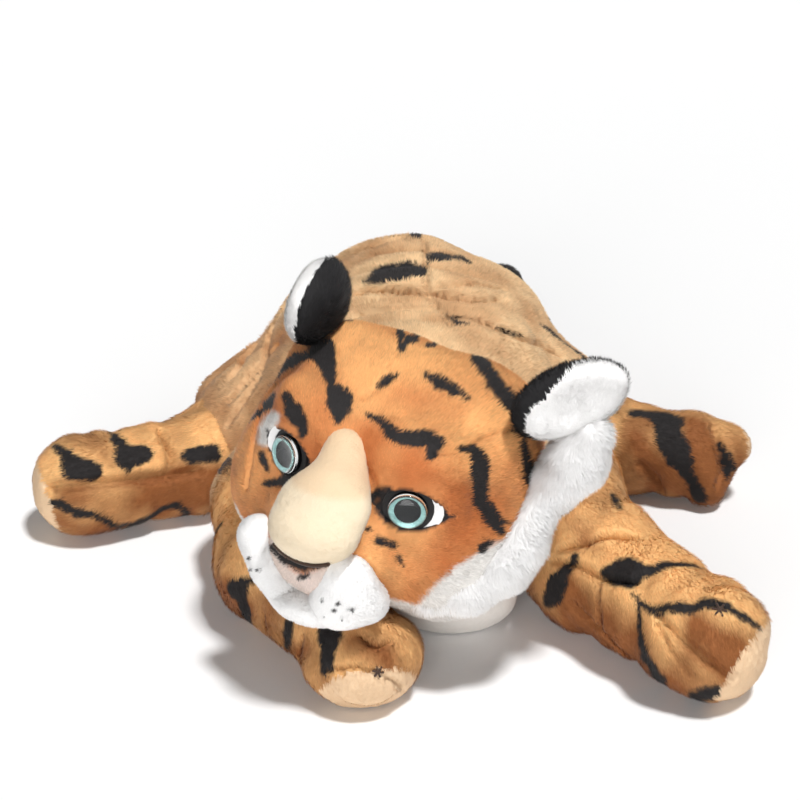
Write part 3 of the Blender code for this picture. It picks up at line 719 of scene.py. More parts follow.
class Nodes:
    """Builds one node tree."""

    def __init__(self, tree: bpy.types.NodeTree) -> None:
        """Keeps the tree that is built."""
        self.tree = tree

    def add(self, kind: str, values: Optional[dict] = None, **settings: object) -> bpy.types.Node:
        """Adds a node.

        Args:
            kind: Blender's name of the node, without its first word.
            values: socket values by name or number; a socket is linked instead.
            settings: the node's own settings.
        Returns:
            The node.
        """
        node = self.tree.nodes.new("ShaderNode" + kind)
        for key, value in settings.items():
            setattr(node, key, value)
        for key, value in (values or {}).items():
            if isinstance(value, bpy.types.NodeSocket):
                self.tree.links.new(value, node.inputs[key])
            else:
                node.inputs[key].default_value = value
        return node

    def math(self, operation: str, a: object, b: object, clamp: bool = False) -> object:
        """One sum of two values, and its output."""
        return self.add("Math", {0: a, 1: b}, operation=operation, use_clamp=clamp).outputs[0]

    def mix(self, share: object, a: object, b: object, how: str = "MIX") -> object:
        """Two colours mixed, and the output."""
        node = self.add("Mix", {0: share, 6: a, 7: b}, data_type="RGBA", blend_type=how)
        return node.outputs[2]

    def attribute(self, name: str) -> object:
        """A value that the mesh carries."""
        return self.add("Attribute", attribute_name=name).outputs["Fac"]

    def group(self, tree: bpy.types.NodeTree, values: dict) -> bpy.types.Node:
        """Places a group with its values."""
        node = self.tree.nodes.new("ShaderNodeGroup")
        node.node_tree = tree
        for key, value in values.items():
            if isinstance(value, bpy.types.NodeSocket):
                self.tree.links.new(value, node.inputs[key])
            else:
                node.inputs[key].default_value = value
        return node


def new_group(name: str, inputs: Sequence[tuple], outputs: Sequence[tuple]
              ) -> tuple[bpy.types.NodeTree, Nodes, bpy.types.Node, bpy.types.Node]:
    """An empty shader group.

    Args:
        name: the group's name.
        inputs: name, kind and value of each input.
        outputs: name and kind of each output.
    Returns:
        The group, its builder, its input node and its output node.
    """
    tree = bpy.data.node_groups.new(name, "ShaderNodeTree")
    for label, kind, value in inputs:
        socket = tree.interface.new_socket(name=label, in_out="INPUT",
                                           socket_type="NodeSocket" + kind)
        socket.default_value = value
    for label, kind in outputs:
        tree.interface.new_socket(name=label, in_out="OUTPUT", socket_type="NodeSocket" + kind)
    return tree, Nodes(tree), tree.nodes.new("NodeGroupInput"), tree.nodes.new("NodeGroupOutput")


class Effects:
    """The shader groups that the finishes share."""

    def __init__(self) -> None:
        """Builds each group once."""
        self.shade = self._pile_shade()
        self.cloth = self._cloth_grain()

    @staticmethod
    def _pile_shade() -> bpy.types.NodeTree:
        """Painted shade: pile darker at its roots, where strands shade each other; it also varies
        at random from strand to strand and tuft to tuft.
        """
        tree, nodes, given, out = new_group(
            "pile_shade",
            (("Colour", "Color", (1, 1, 1, 1)), ("Tip", "Float", 1.0), ("Tone", "Float", 0.5),
             ("Root", "Float", 0.6), ("Variation", "Float", 0.2), ("Scale", "Float", 90.0)),
            (("Colour", "Color"), ("Height", "Float")))
        place = nodes.add("TexCoord").outputs["Object"]
        noise = nodes.add("TexNoise", {"Vector": place, "Scale": given.outputs["Scale"],
                                       "Detail": 3.0, "Roughness": 0.6}).outputs["Fac"]
        depth = nodes.add("MapRange", {"Value": given.outputs["Tip"],
                                       "To Min": given.outputs["Root"], "To Max": 1.0})
        tuft = nodes.math("MULTIPLY", nodes.math("SUBTRACT", noise, 0.5), 1.2)
        strand = nodes.math("SUBTRACT", given.outputs["Tone"], 0.5)
        change = nodes.math("MULTIPLY", nodes.math("ADD", tuft, strand),
                            given.outputs["Variation"])
        level = nodes.math("MULTIPLY", depth.outputs[0], nodes.math("ADD", change, 1.0))
        grey = nodes.add("CombineColor", {0: level, 1: level, 2: level}).outputs[0]
        colour = nodes.mix(1.0, given.outputs["Colour"], grey, "MULTIPLY")
        tree.links.new(colour, out.inputs["Colour"])
        tree.links.new(noise, out.inputs["Height"])
        return tree

    @staticmethod
    def _cloth_grain() -> bpy.types.NodeTree:
        """A fine woven or felted grain."""
        tree, nodes, given, out = new_group(
            "cloth_grain",
            (("Colour", "Color", (1, 1, 1, 1)), ("Scale", "Float", 900.0),
             ("Depth", "Float", 0.15)),
            (("Colour", "Color"), ("Height", "Float")))
        place = nodes.add("TexCoord").outputs["Object"]
        fine = nodes.add("TexNoise", {"Vector": place, "Scale": given.outputs["Scale"],
                                      "Detail": 4.0}).outputs["Fac"]
        wide = nodes.add("TexNoise", {"Vector": place, "Scale": 60.0,
                                      "Detail": 2.0}).outputs["Fac"]
        both = nodes.math("ADD", fine, wide)
        change = nodes.math("MULTIPLY", nodes.math("SUBTRACT", both, 1.0),
                            given.outputs["Depth"])
        level = nodes.math("ADD", change, 1.0)
        grey = nodes.add("CombineColor", {0: level, 1: level, 2: level}).outputs[0]
        tree.links.new(nodes.mix(1.0, given.outputs["Colour"], grey, "MULTIPLY"),
                       out.inputs["Colour"])
        tree.links.new(fine, out.inputs["Height"])
        return tree


EFFECTS = Effects()
Colour = tuple[float, float, float]


@dataclass(frozen=True)
class PileFinish:
    """Pile fabric with printed marks. Its colours are red, green and blue, linear."""

    name: str
    pale: Colour
    # The darker colour, mixed in for random tone and for painted shade.
    tone_and_shade: Colour
    mark: Colour = (0.020, 0.017, 0.017)
    white: Colour = (0.86, 0.83, 0.79)
    # How dark the painted shade at the strands' roots is.
    root: float = 0.86
    variation: float = 0.26
    sheen: float = 0.05

    def material(self, strands: bool) -> bpy.types.Material:
        """The material.

        Args:
            strands: whether it is for the strands, or for the cloth under them.
        Returns:
            A node material.
        """
        made = bpy.data.materials.new(self.name + ("_strands" if strands else "_ground"))
        made.use_nodes = True
        nodes = Nodes(made.node_tree)
        shader = made.node_tree.nodes["Principled BSDF"]
        # The darker colour goes where the mask holds random tone or painted shade.
        base = nodes.mix(nodes.attribute("tone_and_shade"), (*self.pale, 1.0), (*self.tone_and_shade, 1.0))
        base = nodes.mix(nodes.attribute("white"), base, (*self.white, 1.0))
        base = nodes.mix(nodes.attribute("mark"), base, (*self.mark, 1.0))
        # Painted shade: the ground cloth is as dark as low in the pile over it.
        tip = nodes.attribute("tip") if strands else 0.25
        tone = nodes.attribute("tone") if strands else 0.5
        shade = nodes.group(EFFECTS.shade, {"Colour": base, "Tip": tip, "Tone": tone,
                                            "Root": self.root, "Variation": self.variation})
        made.node_tree.links.new(shade.outputs["Colour"], shader.inputs["Base Color"])
        if not strands:
            bump = nodes.add("Bump", {"Height": shade.outputs["Height"], "Strength": 0.6,
                                      "Distance": 0.002})
            made.node_tree.links.new(bump.outputs[0], shader.inputs["Normal"])
        shader.inputs["Roughness"].default_value = 0.75
        shader.inputs["Specular IOR Level"].default_value = 0.25
        shader.inputs["Sheen Weight"].default_value = self.sheen
        shader.inputs["Sheen Roughness"].default_value = 0.45
        return made


@dataclass(frozen=True)
class ClothFinish:
    """Plain cloth, felt or thread."""

    name: str
    colour: Colour
    scale: float = 900.0
    depth: float = 0.2
    roughness: float = 0.9
    bump: float = 0.3

    def material(self) -> bpy.types.Material:
        """The material."""
        made = bpy.data.materials.new(self.name)
        made.use_nodes = True
        nodes = Nodes(made.node_tree)
        shader = made.node_tree.nodes["Principled BSDF"]
        grain = nodes.group(EFFECTS.cloth, {"Colour": (*self.colour, 1.0), "Scale": self.scale,
                                            "Depth": self.depth})
        bump = nodes.add("Bump", {"Height": grain.outputs["Height"], "Strength": self.bump,
                                  "Distance": 0.0006})
        made.node_tree.links.new(grain.outputs["Colour"], shader.inputs["Base Color"])
        made.node_tree.links.new(bump.outputs[0], shader.inputs["Normal"])
        shader.inputs["Roughness"].default_value = self.roughness
        shader.inputs["Sheen Weight"].default_value = 0.15
        return made


@dataclass(frozen=True)
class HardFinish:
    """Moulded plastic, clear or solid."""

    name: str
    colour: Colour
    roughness: float = 0.2
    clear: float = 0.0
    metal: float = 0.0
    gloss: float = 0.5
    bending: float = 1.45

    def material(self) -> bpy.types.Material:
        """The material."""
        made = bpy.data.materials.new(self.name)
        made.use_nodes = True
        nodes = Nodes(made.node_tree)
        shader = made.node_tree.nodes["Principled BSDF"]
        place = nodes.add("TexCoord").outputs["Object"]
        noise = nodes.add("TexNoise", {"Vector": place, "Scale": 260.0, "Detail": 3.0})
        rough = nodes.add("MapRange", {"Value": noise.outputs["Fac"],
                                       "To Min": self.roughness * 0.7,
                                       "To Max": self.roughness * 1.3})
        made.node_tree.links.new(rough.outputs[0], shader.inputs["Roughness"])
        shader.inputs["Base Color"].default_value = (*self.colour, 1.0)
        shader.inputs["Transmission Weight"].default_value = self.clear
        shader.inputs["Metallic"].default_value = self.metal
        shader.inputs["IOR"].default_value = self.bending
        shader.inputs["Specular IOR Level"].default_value = self.gloss
        return made


@dataclass(frozen=True)
class IrisFinish:
    """The painted ring of an eye, streaked from the pupil outwards."""

    name: str
    middle: Point
    rim: float = 0.0096
    inner: Colour = (0.16, 0.34, 0.33)
    outer: Colour = (0.42, 0.70, 0.68)

    def material(self) -> bpy.types.Material:
        """The material."""
        made = bpy.data.materials.new(self.name)
        made.use_nodes = True
        nodes = Nodes(made.node_tree)
        shader = made.node_tree.nodes["Principled BSDF"]
        place = nodes.add("TexCoord").outputs["Object"]
        fine = nodes.add("TexNoise", {"Vector": place, "Scale": 700.0, "Detail": 5.0,
                                      "Roughness": 0.7}).outputs["Fac"]
        spread = nodes.add("MapRange", {"Value": fine, "From Min": 0.3, "From Max": 0.7})
        colour = nodes.mix(spread.outputs[0], (*self.inner, 1.0), (*self.outer, 1.0))
        reach = nodes.add("VectorMath", {0: place, 1: self.middle}, operation="DISTANCE")
        edge = nodes.add("MapRange", {"Value": reach.outputs["Value"], "From Min": self.rim,
                                      "From Max": self.rim + 0.0010})
        colour = nodes.mix(edge.outputs[0], colour, (0.006, 0.006, 0.006, 1.0))
        made.node_tree.links.new(colour, shader.inputs["Base Color"])
        shader.inputs["Roughness"].default_value = 0.3
        shader.inputs["Metallic"].default_value = 0.3
        return made


BODY_COAT = PileFinish("body_coat", (0.98, 0.67, 0.37), (0.47, 0.180, 0.055))
LIMB_COAT = PileFinish("limb_coat", (0.98, 0.58, 0.24), (0.34, 0.120, 0.036))
HEAD_COAT = PileFinish("head_coat", (0.97, 0.50, 0.19), (0.58, 0.180, 0.052))
WHITE_COAT = PileFinish("white_coat", (0.97, 0.96, 0.95), (0.78, 0.42, 0.20), root=0.92,
                        variation=0.06, sheen=0.15)
CREAM_COAT = PileFinish("cream_coat", (0.90, 0.77, 0.57), (0.82, 0.58, 0.35), root=0.92,
                        variation=0.07, sheen=0.2)
SOLE_COAT = PileFinish("sole_coat", (0.84, 0.60, 0.38), (0.74, 0.44, 0.24), root=0.92,
                       variation=0.07)
EAR_COAT = PileFinish("ear_coat", (0.016, 0.015, 0.016), (0.60, 0.27, 0.08), variation=0.5)


@dataclass
class Coat:
    """One sewn and stuffed piece of pile fabric: its ground cloth and its strands."""

    name: str
    skin: Skin
    pile: Pile
    finish: PileFinish
    flow: Flow
    slot: str
    seed: int
    replaces: tuple = ()
    marks: Optional[Markings] = None
    # Mask of the darker colour: random tone and painted shade.
    tone_and_shade: Optional[Callable[[np.ndarray], np.ndarray]] = None
    white: Optional[Callable[[np.ndarray], np.ndarray]] = None
    trim: Optional[Callable[[np.ndarray], np.ndarray]] = None
    keep: Optional[Callable[[np.ndarray], np.ndarray]] = None
    fill: float = 0.6

    def _values(self, points: np.ndarray) -> dict:
        """The marks and tints at each point."""
        nothing = np.zeros(len(points))
        return {
            "mark": self.marks.mask(points) if self.marks else nothing,
            "tone_and_shade": self.tone_and_shade(points) if self.tone_and_shade else nothing,
            "white": self.white(points) if self.white else nothing,
        }

    def build(self) -> list[bpy.types.Object]:
        """Makes the ground cloth and the strands.

        Returns:
            Both objects.
        """
        ground = mesh_object(self.name, self.skin.points, self.skin.faces, self.skin.normals,
                             self._values(self.skin.points))
        ground.data.materials.append(self.finish.material(False))
        furrier = Furrier(self.pile, self.flow, self.seed)
        keep = self.keep or (lambda places: np.ones(len(places), bool))
        places, outward = furrier.roots(self.skin, keep)
        lengths = self.trim(places) if self.trim else None
        fur = furrier.strands(self.name + "_pile", places, outward, self._values(places), lengths)
        fur.data.materials.append(self.finish.material(True))
        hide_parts(*self.replaces)
        LOG.info("%s: %d faces, %d strands", self.name, len(self.skin.faces), len(places))
        return [ground, fur]


def toward(*way: float) -> Flow:
    """A comb direction that is the same everywhere."""
    fixed = np.array(way, float)
    return lambda points: np.repeat(fixed[None], len(points), 0)


def mottle(points: np.ndarray, seed: int) -> np.ndarray:
    """Broad and fine uneven tones of brushed pile, about 0."""
    broad = lattice(points, 0.042, seed, 1)[:, 0]
    fine = lattice(points, 0.013, seed + 1, 1)[:, 0]
    return 0.38 * broad + 0.22 * fine


TRUNK = Form((
    Mound((0.002, 0.075, 0.078), (0.103, 0.115, 0.084)),
    Mound((-0.002, -0.005, 0.073), (0.105, 0.118, 0.075), 0.04),
    Mound((0.004, -0.090, 0.064), (0.098, 0.072, 0.062), 0.04),
    Mound((0.098, 0.050, 0.045), (0.051, 0.058, 0.047), 0.03),
    Mound((-0.101, 0.044, 0.046), (0.053, 0.058, 0.048), 0.03),
    Mound((0.095, -0.084, 0.052), (0.045, 0.045, 0.045), 0.03),
    Mound((-0.090, -0.080, 0.046), (0.040, 0.040, 0.040), 0.03),
), floor=0.0042, wrinkles=0.0018, lumps=0.03, puckers=0.0062)

HIND_LEGS = {
    "left": Form((
        Roll((0.104, 0.045, 0.043), (0.150, 0.034, 0.031), (0.041, 0.029)),
        Roll((0.150, 0.034, 0.031), (0.197, 0.022, 0.031), (0.029, 0.0295), 0.015),
        Mound((0.222, 0.020, 0.040), (0.0155, 0.0160, 0.0135), 0.008, lean=12.0),
        Mound((0.208, 0.008, 0.016), (0.0140, 0.0150, 0.0130), 0.010),
    ), wrinkles=0.0012, lumps=0.02, puckers=0.0034, spacing=0.026, grain=(1.0, 0.0, 0.0)),
    "right": Form((
        Roll((-0.104, 0.042, 0.043), (-0.160, 0.002, 0.031), (0.042, 0.031)),
        Roll((-0.160, 0.002, 0.031), (-0.224, -0.027, 0.035), (0.031, 0.034), 0.015),
    ), wrinkles=0.0012, lumps=0.02, puckers=0.0034, spacing=0.026, grain=(1.0, 0.3, 0.0)),
}

FORELEGS = {
    "left": Form((
        Roll((0.095, -0.084, 0.056), (0.113, -0.142, 0.041), (0.045, 0.039)),
        Roll((0.113, -0.142, 0.041), (0.176, -0.224, 0.036), (0.039, 0.034), 0.018),
        Mound((0.176, -0.224, 0.034), (0.036, 0.037, 0.033), 0.012, spread=38.0),
    ), wrinkles=0.0014, lumps=0.02, puckers=0.0036, spacing=0.026, grain=(0.6, -0.8, 0.0)),
    "right": Form((
        Roll((-0.092, -0.080, 0.050), (-0.088, -0.138, 0.038), (0.038, 0.035)),
        Roll((-0.088, -0.140, 0.036), (-0.030, -0.232, 0.029), (0.034, 0.028), 0.018),
        Mound((-0.030, -0.230, 0.028), (0.034, 0.034, 0.026), 0.012),
    ), wrinkles=0.0012, lumps=0.02, puckers=0.0034, spacing=0.026, grain=(0.4, -0.9, 0.0)),
}

TAIL_LINE = ((0.000, 0.170, 0.038), (0.004, 0.245, 0.0255), (0.028, 0.310, 0.0225),
             (0.078, 0.352, 0.0205))
TAIL_RADII = (0.026, 0.0225, 0.0200, 0.0185)
TAIL = Form(tuple(Roll(TAIL_LINE[k], TAIL_LINE[k + 1], TAIL_RADII[k:k + 2], 0.008)
                  for k in range(3)), wrinkles=0.001, lumps=0.02)


def eye_seats(local: np.ndarray) -> np.ndarray:
    """Cuts the openings for the eyes out of the head, in its own directions."""
    total = np.full(len(local), -1.0)
    for sign in SIDES.values():
        axes = turned(spread=EYE_SPREAD * sign)
        middle = np.array((EYE_AT[0] * sign, EYE_AT[1], EYE_AT[2]))
        out, level, tall = ((local - middle) @ axes).T
        out = out * sign
        around = 0.0124 - np.hypot(out, tall)
        lids = 0.0122 * np.clip(1 - ((out - 0.0012) / 0.0235) ** 2, 0, 1) - np.abs(tall)
        opening = np.maximum(around, lids)
        total = np.maximum(total, np.minimum(opening, level + 0.0016))
    return total


def eye_mounds() -> tuple:
    """Swellings that carry the eyes, one each side."""
    made = []
    for sign in SIDES.values():
        back = turned(spread=EYE_SPREAD * sign)[:, 1] * 0.0085
        centre = np.array((EYE_AT[0] * sign, EYE_AT[1], EYE_AT[2])) - back
        made.append(Mound(tuple(centre), (0.030, 0.0105, 0.026), 0.012,
                          spread=EYE_SPREAD * sign))
    return tuple(made)


HEAD_FORM = Form((
    Mound((0.0, -0.002, 0.002), (0.088, 0.072, 0.076)),
    Mound((0.041, -0.014, 0.036), (0.038, 0.042, 0.041), 0.02),
    Mound((-0.044, -0.018, 0.038), (0.044, 0.034, 0.030), 0.016),
    Mound((0.050, 0.013, -0.030), (0.042, 0.046, 0.040), 0.03),
    Mound((-0.050, 0.013, -0.030), (0.042, 0.046, 0.040), 0.03),
    Mound((0.0, 0.066, -0.028), (0.042, 0.035, 0.031), 0.022),
    Mound((0.034, 0.050, 0.044), (0.030, 0.016, 0.013), 0.02, spread=20.0),
    Mound((-0.034, 0.050, 0.044), (0.030, 0.016, 0.013), 0.02, spread=-20.0),
    *eye_mounds(),
), floor=0.046, on_head=True, wrinkles=0.0012, lumps=0.02, cut=eye_seats)

NECK_FORM = Form((
    Mound((-0.004, -0.092, 0.098), (0.056, 0.048, 0.042)),
    Mound((0.012, -0.066, 0.094), (0.064, 0.050, 0.040), 0.03),
), floor=0.050, wrinkles=0.001, lumps=0.02)


def outside(*forms: Form, depth: float = 0.005) -> Callable[[np.ndarray], np.ndarray]:
    """Keeps places that aren't buried in the given forms."""
    def keep(points: np.ndarray) -> np.ndarray:
        """Whether each place is kept."""
        good = np.ones(len(points), bool)
        for form in forms:
            good &= form.distance(points) > -depth
        return good
    return keep


@dataclass
class TrunkCoat:
    """The trunk."""

    step: float = 0.0032
    marks: tuple = (
        Mark(((364, 283), (380, 276), (397, 272), (412, 270), (423, 273)), (3, 13, 18, 17, 8)),
        Mark(((429, 259), (438, 257), (448, 258), (459, 258), (469, 264)), (10, 8, 5, 6, 3)),
        Mark(((446, 317), (457, 322), (468, 323)), (3, 9, 3)),
        Mark(((496, 328), (508, 333), (519, 335)), (3, 7, 2)),
        Mark(((406, 235), (419, 236)), (5, 5)),
        Mark(((209, 452), (226, 466), (240, 474)), (16, 18, 18)),
        Mark(((-74, 134), (-50, 142), (-24, 136)), (4, 15, 5), View.ABOVE),
        Mark(((18, 146), (44, 144), (74, 128)), (5, 16, 4), View.ABOVE),
        Mark(((-40, 172), (-14, 178), (14, 172)), (4, 12, 4), View.ABOVE),
        Mark(((-78, 96), (-58, 82), (-50, 58)), (5, 14, 4), View.BEHIND),
        Mark(((34, 92), (58, 82), (80, 62)), (4, 15, 5), View.BEHIND),
        Mark(((-40, 54), (-34, 36), (-40, 20)), (4, 10, 4), View.BEHIND),
        Mark(((40, 50), (44, 34), (38, 20)), (4, 11, 4), View.BEHIND),
        Mark(((62, 78), (70, 60), (64, 38)), (4, 14, 4), View.LEFT),
        Mark(((20, 100), (28, 80), (20, 58)), (4, 14, 5), View.LEFT),
        Mark(((44, 122), (54, 104), (48, 84)), (4, 13, 4), View.LEFT),
        Mark(((92, 104), (100, 90), (94, 76)), (4, 12, 4), View.LEFT),
        Mark(((100, 92), (108, 70), (102, 44)), (4, 15, 4), View.LEFT),
        Mark(((138, 80), (144, 60), (138, 36)), (4, 13, 4), View.LEFT),
        Mark(((20, 60), (24, 44), (20, 28)), (4, 11, 4), View.LEFT),
        Mark(((70, 70), (76, 52), (70, 32)), (4, 13, 4), View.RIGHT),
        Mark(((106, 88), (114, 66), (108, 42)), (4, 15, 4), View.RIGHT),
        Mark(((142, 78), (148, 56), (142, 34)), (4, 12, 4), View.RIGHT),
    )
    folds: tuple = (
        Mark(((424, 240), (425, 291), (440, 310), (452, 325)), (5, 6, 5)),
        Mark(((345, 296), (372, 290), (425, 292), (470, 300), (500, 300)), (6, 11, 8)),
        Mark(((355, 316), (400, 307), (432, 309)), (6, 9, 6)),
        Mark(((325, 262), (362, 250), (407, 236)), (8, 13, 7)),
        Mark(((440, 285), (475, 283), (505, 290)), (6, 9, 5)),
        Mark(((282, 315), (258, 340), (232, 376)), (7, 12, 8)),
        Mark(((278, 345), (255, 370), (230, 400)), (7, 11, 7)),
        Mark(((300, 290), (270, 330), (262, 372), (228, 425)), (5, 9, 8, 5)),
        Mark(((455, 318), (480, 322), (530, 340), (562, 356)), (5, 9, 11, 6)),
        Mark(((-60, 150), (-20, 160), (25, 155), (70, 140)), (10, 14, 10), View.ABOVE),
        Mark(((-70, 90), (-50, 60), (-60, 25)), (10, 16, 9), View.BEHIND),
        Mark(((75, 95), (52, 60), (60, 25)), (10, 16, 9), View.BEHIND),
    )

    def build(self) -> None:
        """Makes the trunk's coat."""
        skin = wrap(TRUNK, (-0.19, -0.19, -0.004), (0.17, 0.215, 0.18), self.step)
        creases = Creases(self.folds, 0.0070)
        skin = creases.press(skin)

        def combed(points: np.ndarray) -> np.ndarray:
            """Back and down from the spine."""
            flow = np.zeros_like(points)
            flow[:, 0] = points[:, 0] * 5.0
            flow[:, 1] = 1.0
            flow[:, 2] = -0.5
            return flow

        def tone_and_shade(points: np.ndarray) -> np.ndarray:
            """Where the coat is darker: random tone, painted shade low, toward -x and in folds.
            """
            # Painted shade: darker low down and on the flank toward -x.
            side = np.clip((0.135 - points[:, 2] - 0.25 * points[:, 0]) * 6.0, 0, 0.55)
            # Painted shade in the folds and the puckers' valleys.
            painted_shading = 0.8 * creases.shade(points) + 0.5 * TRUNK.valleys(points) ** 2
            return np.clip(0.02 + side + mottle(points, 21) + painted_shading, 0, 1)

        coat = Coat("trunk_coat", skin, Pile(density=0.80), BODY_COAT, combed, "pale_fur",
                    101, ("trunk",), Markings(skin, self.marks), tone_and_shade,
                    keep=lambda p: (p[:, 2] > 0.006) & outside(
                        HEAD_FORM, depth=0.010)(p) & outside(*HIND_LEGS.values(),
                                                             *FORELEGS.values(), TAIL)(p))
        for obj in coat.build():
            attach(obj, "trunk")


@dataclass
class HindLegCoat:
    """A hind leg with its sole."""

    side: str
    box: tuple
    paw: Point
    sole_face: Point
    sole_reach: float
    marks: tuple
    folds: tuple = ()
    # Patches of painted shade.
    tones: tuple = ()

    def build(self) -> None:
        """Makes the leg's coat and its sole."""
        form = HIND_LEGS[self.side]
        creases = Creases(self.folds, 0.0060)
        skin = creases.press(wrap(form, *self.box, 0.0028))
        # Patches of painted shade.
        dark = Markings(skin, self.tones, 0.012)
        face = unit(np.array(self.sole_face))
        beyond = (skin.centres() - np.array(self.paw)) @ face > self.sole_reach
        sign = SIDES[self.side]
        body = "hind_leg_" + self.side
        flow = toward(sign, -0.35, -0.25)
        buried = outside(TRUNK)

        def keep(points: np.ndarray) -> np.ndarray:
            """Above the floor and out of the trunk."""
            return (points[:, 2] > 0.004) & buried(points)

        def tone_and_shade(points: np.ndarray) -> np.ndarray:
            """Where the coat is darker: random tone, painted shade low, in folds and patches."""
            # Painted shade: darker low down.
            low = np.clip((0.050 - points[:, 2]) * 24.0, 0, 0.75)
            # Painted shade in the folds, the puckers' valleys and the shade patches.
            painted_shading = 0.8 * creases.shade(points) + 0.5 * form.valleys(points) ** 2
            painted_shading += 0.6 * dark.mask(points)
            return np.clip(0.12 + low + mottle(points, 22) + painted_shading, 0, 1)

        leg = Coat(body + "_coat", skin.part(~beyond), Pile(), LIMB_COAT, flow, "tan_fur",
                   111 + int(sign), (body,), Markings(skin, self.marks), tone_and_shade, keep=keep)
        sole = Coat("hind_sole_" + self.side + "_coat", skin.part(beyond),
                    Pile(0.0020, 0.0004, 1.4, 1.6, 0.1), SOLE_COAT, flow, "cream_pile",
                    121 + int(sign), ("hind_sole_" + self.side,), keep=keep)
        for obj in leg.build() + sole.build():
            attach(obj, body)


@dataclass
class ForelegCoat:
    """A foreleg, split at its elbow, with its sole."""

    side: str
    box: tuple
    elbow: Point
    along: Point
    paw: Point
    sole_face: Point
    sole_reach: float
    marks: tuple
    folds: tuple = ()
    # Patches of painted shade.
    tones: tuple = ()

    def build(self) -> None:
        """Makes upper and lower coat and the sole."""
        form = FORELEGS[self.side]
        creases = Creases(self.folds, 0.0060)
        skin = creases.press(wrap(form, *self.box, 0.0028))
        # Patches of painted shade.
        dark = Markings(skin, self.tones, 0.012)
        elbow, along = np.array(self.elbow), unit(np.array(self.along))
        level = (skin.centres() - elbow) @ along
        face = unit(np.array(self.sole_face))
        beyond = (skin.centres() - np.array(self.paw)) @ face > self.sole_reach
        beyond &= level > 0.03
        lower = (level > -0.022) & ~beyond
        sign = SIDES[self.side]
        upper_body, lower_body = "upper_foreleg_" + self.side, "lower_foreleg_" + self.side
        marks = Markings(skin, self.marks)
        buried = outside(TRUNK)
        flow = toward(self.along[0] * 0.7, self.along[1] * 0.7, -0.7)

        def keep(points: np.ndarray) -> np.ndarray:
            """Above the floor and out of the trunk."""
            return (points[:, 2] > 0.004) & buried(points)

        def tone_and_shade(points: np.ndarray) -> np.ndarray:
            """Where the coat is darker: random tone, painted shade low, in folds and patches."""
            # Painted shade: darker low down.
            low = np.clip((0.067 - points[:, 2]) * 14.0, 0, 0.62)
            # Painted shade in the folds, the puckers' valleys and the shade patches.
            painted_shading = 0.8 * creases.shade(points) + 0.5 * form.valleys(points) ** 2
            painted_shading += 0.6 * dark.mask(points)
            return np.clip(0.03 + low + mottle(points, 23) + painted_shading, 0, 1)

        pile = Pile()
        top = Coat(upper_body + "_coat", skin.part(~lower & ~beyond), pile, LIMB_COAT, flow,
                   "tan_fur", 131 + int(sign), (upper_body,), marks, tone_and_shade, keep=keep)
        low = Coat(lower_body + "_coat", skin.part(lower), pile, LIMB_COAT, flow, "tan_fur",
                   141 + int(sign), (lower_body,), marks, tone_and_shade, keep=keep)
        sole = Coat("fore_sole_" + self.side + "_coat", skin.part(beyond),
                    Pile(0.0020, 0.0004, 1.4, 1.6, 0.1), SOLE_COAT, flow, "cream_pile",
                    151 + int(sign), ("fore_sole_" + self.side,), keep=keep)
        for obj in top.build():
            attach(obj, upper_body)
        for obj in low.build():
            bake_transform(obj)
        for obj in sole.build():
            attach(obj, lower_body)


@dataclass
class TailCoat:
    """The tail in its three lengths."""

    rings: tuple = (0.045, 0.075, 0.103, 0.130, 0.156)

    def _level(self, points: np.ndarray) -> np.ndarray:
        """How far along the tail each point is, in metres."""
        line = np.array(TAIL_LINE)
        best, level, done = np.full(len(points), 9.0), np.zeros(len(points)), 0.0
        for start, end in zip(line[:-1], line[1:]):
            along = end - start
            share = (points - start) @ along / (along @ along)
            near = np.clip(share, 0, 1)
            away = np.linalg.norm(points - start - near[:, None] * along, axis=1)
            closer = away < best
            best[closer] = away[closer]
            level[closer] = (done + share * np.linalg.norm(along))[closer]
            done += np.linalg.norm(along)
        return level

    def build(self) -> None:
        """Makes the three lengths."""
        skin = wrap(TAIL, (-0.035, 0.135, -0.004), (0.105, 0.385, 0.07), 0.0028)
        line = np.array(TAIL_LINE)
        tail = self

        class Rings:
            """Black rings and a black tip."""

            @staticmethod
            def mask(points: np.ndarray) -> np.ndarray:
                """How much each point is marked."""
                level = tail._level(points) + 0.004 * lattice(points, 0.012, 31, 1)[:, 0]
                depth = level - 0.178
                for ring in tail.rings:
                    depth = np.maximum(depth, 0.0065 - np.abs(level - ring))
                return np.clip(0.5 + depth / 0.0015, 0, 1)

        names = ("tail_root", "tail_middle", "tail_tip")
        ways = [unit(line[k + 1] - line[k]) for k in range(3)]
        centres = skin.centres()
        piece = np.zeros(len(centres), int)
        for k in (1, 2):
            bend = unit(ways[k - 1] + ways[k])
            piece[(centres - line[k]) @ bend > -0.014] = k
        for k, name in enumerate(names):
            coat = Coat(name + "_coat", skin.part(piece == k), Pile(),
                        LIMB_COAT, toward(*ways[k]), "tan_fur" if k < 2 else "black_fur", 161 + k,
                        (name,), Rings(),
                        lambda p: np.clip(0.25 + mottle(p, 24), 0, 1),
                        keep=lambda p: (p[:, 2] > 0.004) & outside(TRUNK)(p))
            for obj in coat.build():
                if k == 0:
                    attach(obj, name)
                else:
                    bend = unit(ways[k - 1] + ways[k])
                    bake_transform(obj)


def face_flow(points: np.ndarray) -> np.ndarray:
    """From the nose outwards over the head."""
    return points - on_head((0.0, 0.135, -0.010))


class HeadMarkings(Markings):
    """The head's black marks and the black lining of its eye openings."""

    def mask(self, points: np.ndarray) -> np.ndarray:
        """How much each point is marked, from 0 to 1."""
        local = (points - np.array(HEAD_AT)) @ HEAD
        lining = np.clip(0.5 + (eye_seats(local) + 0.0012) / 0.0006, 0, 1)
        return np.maximum(super().mask(points), lining)


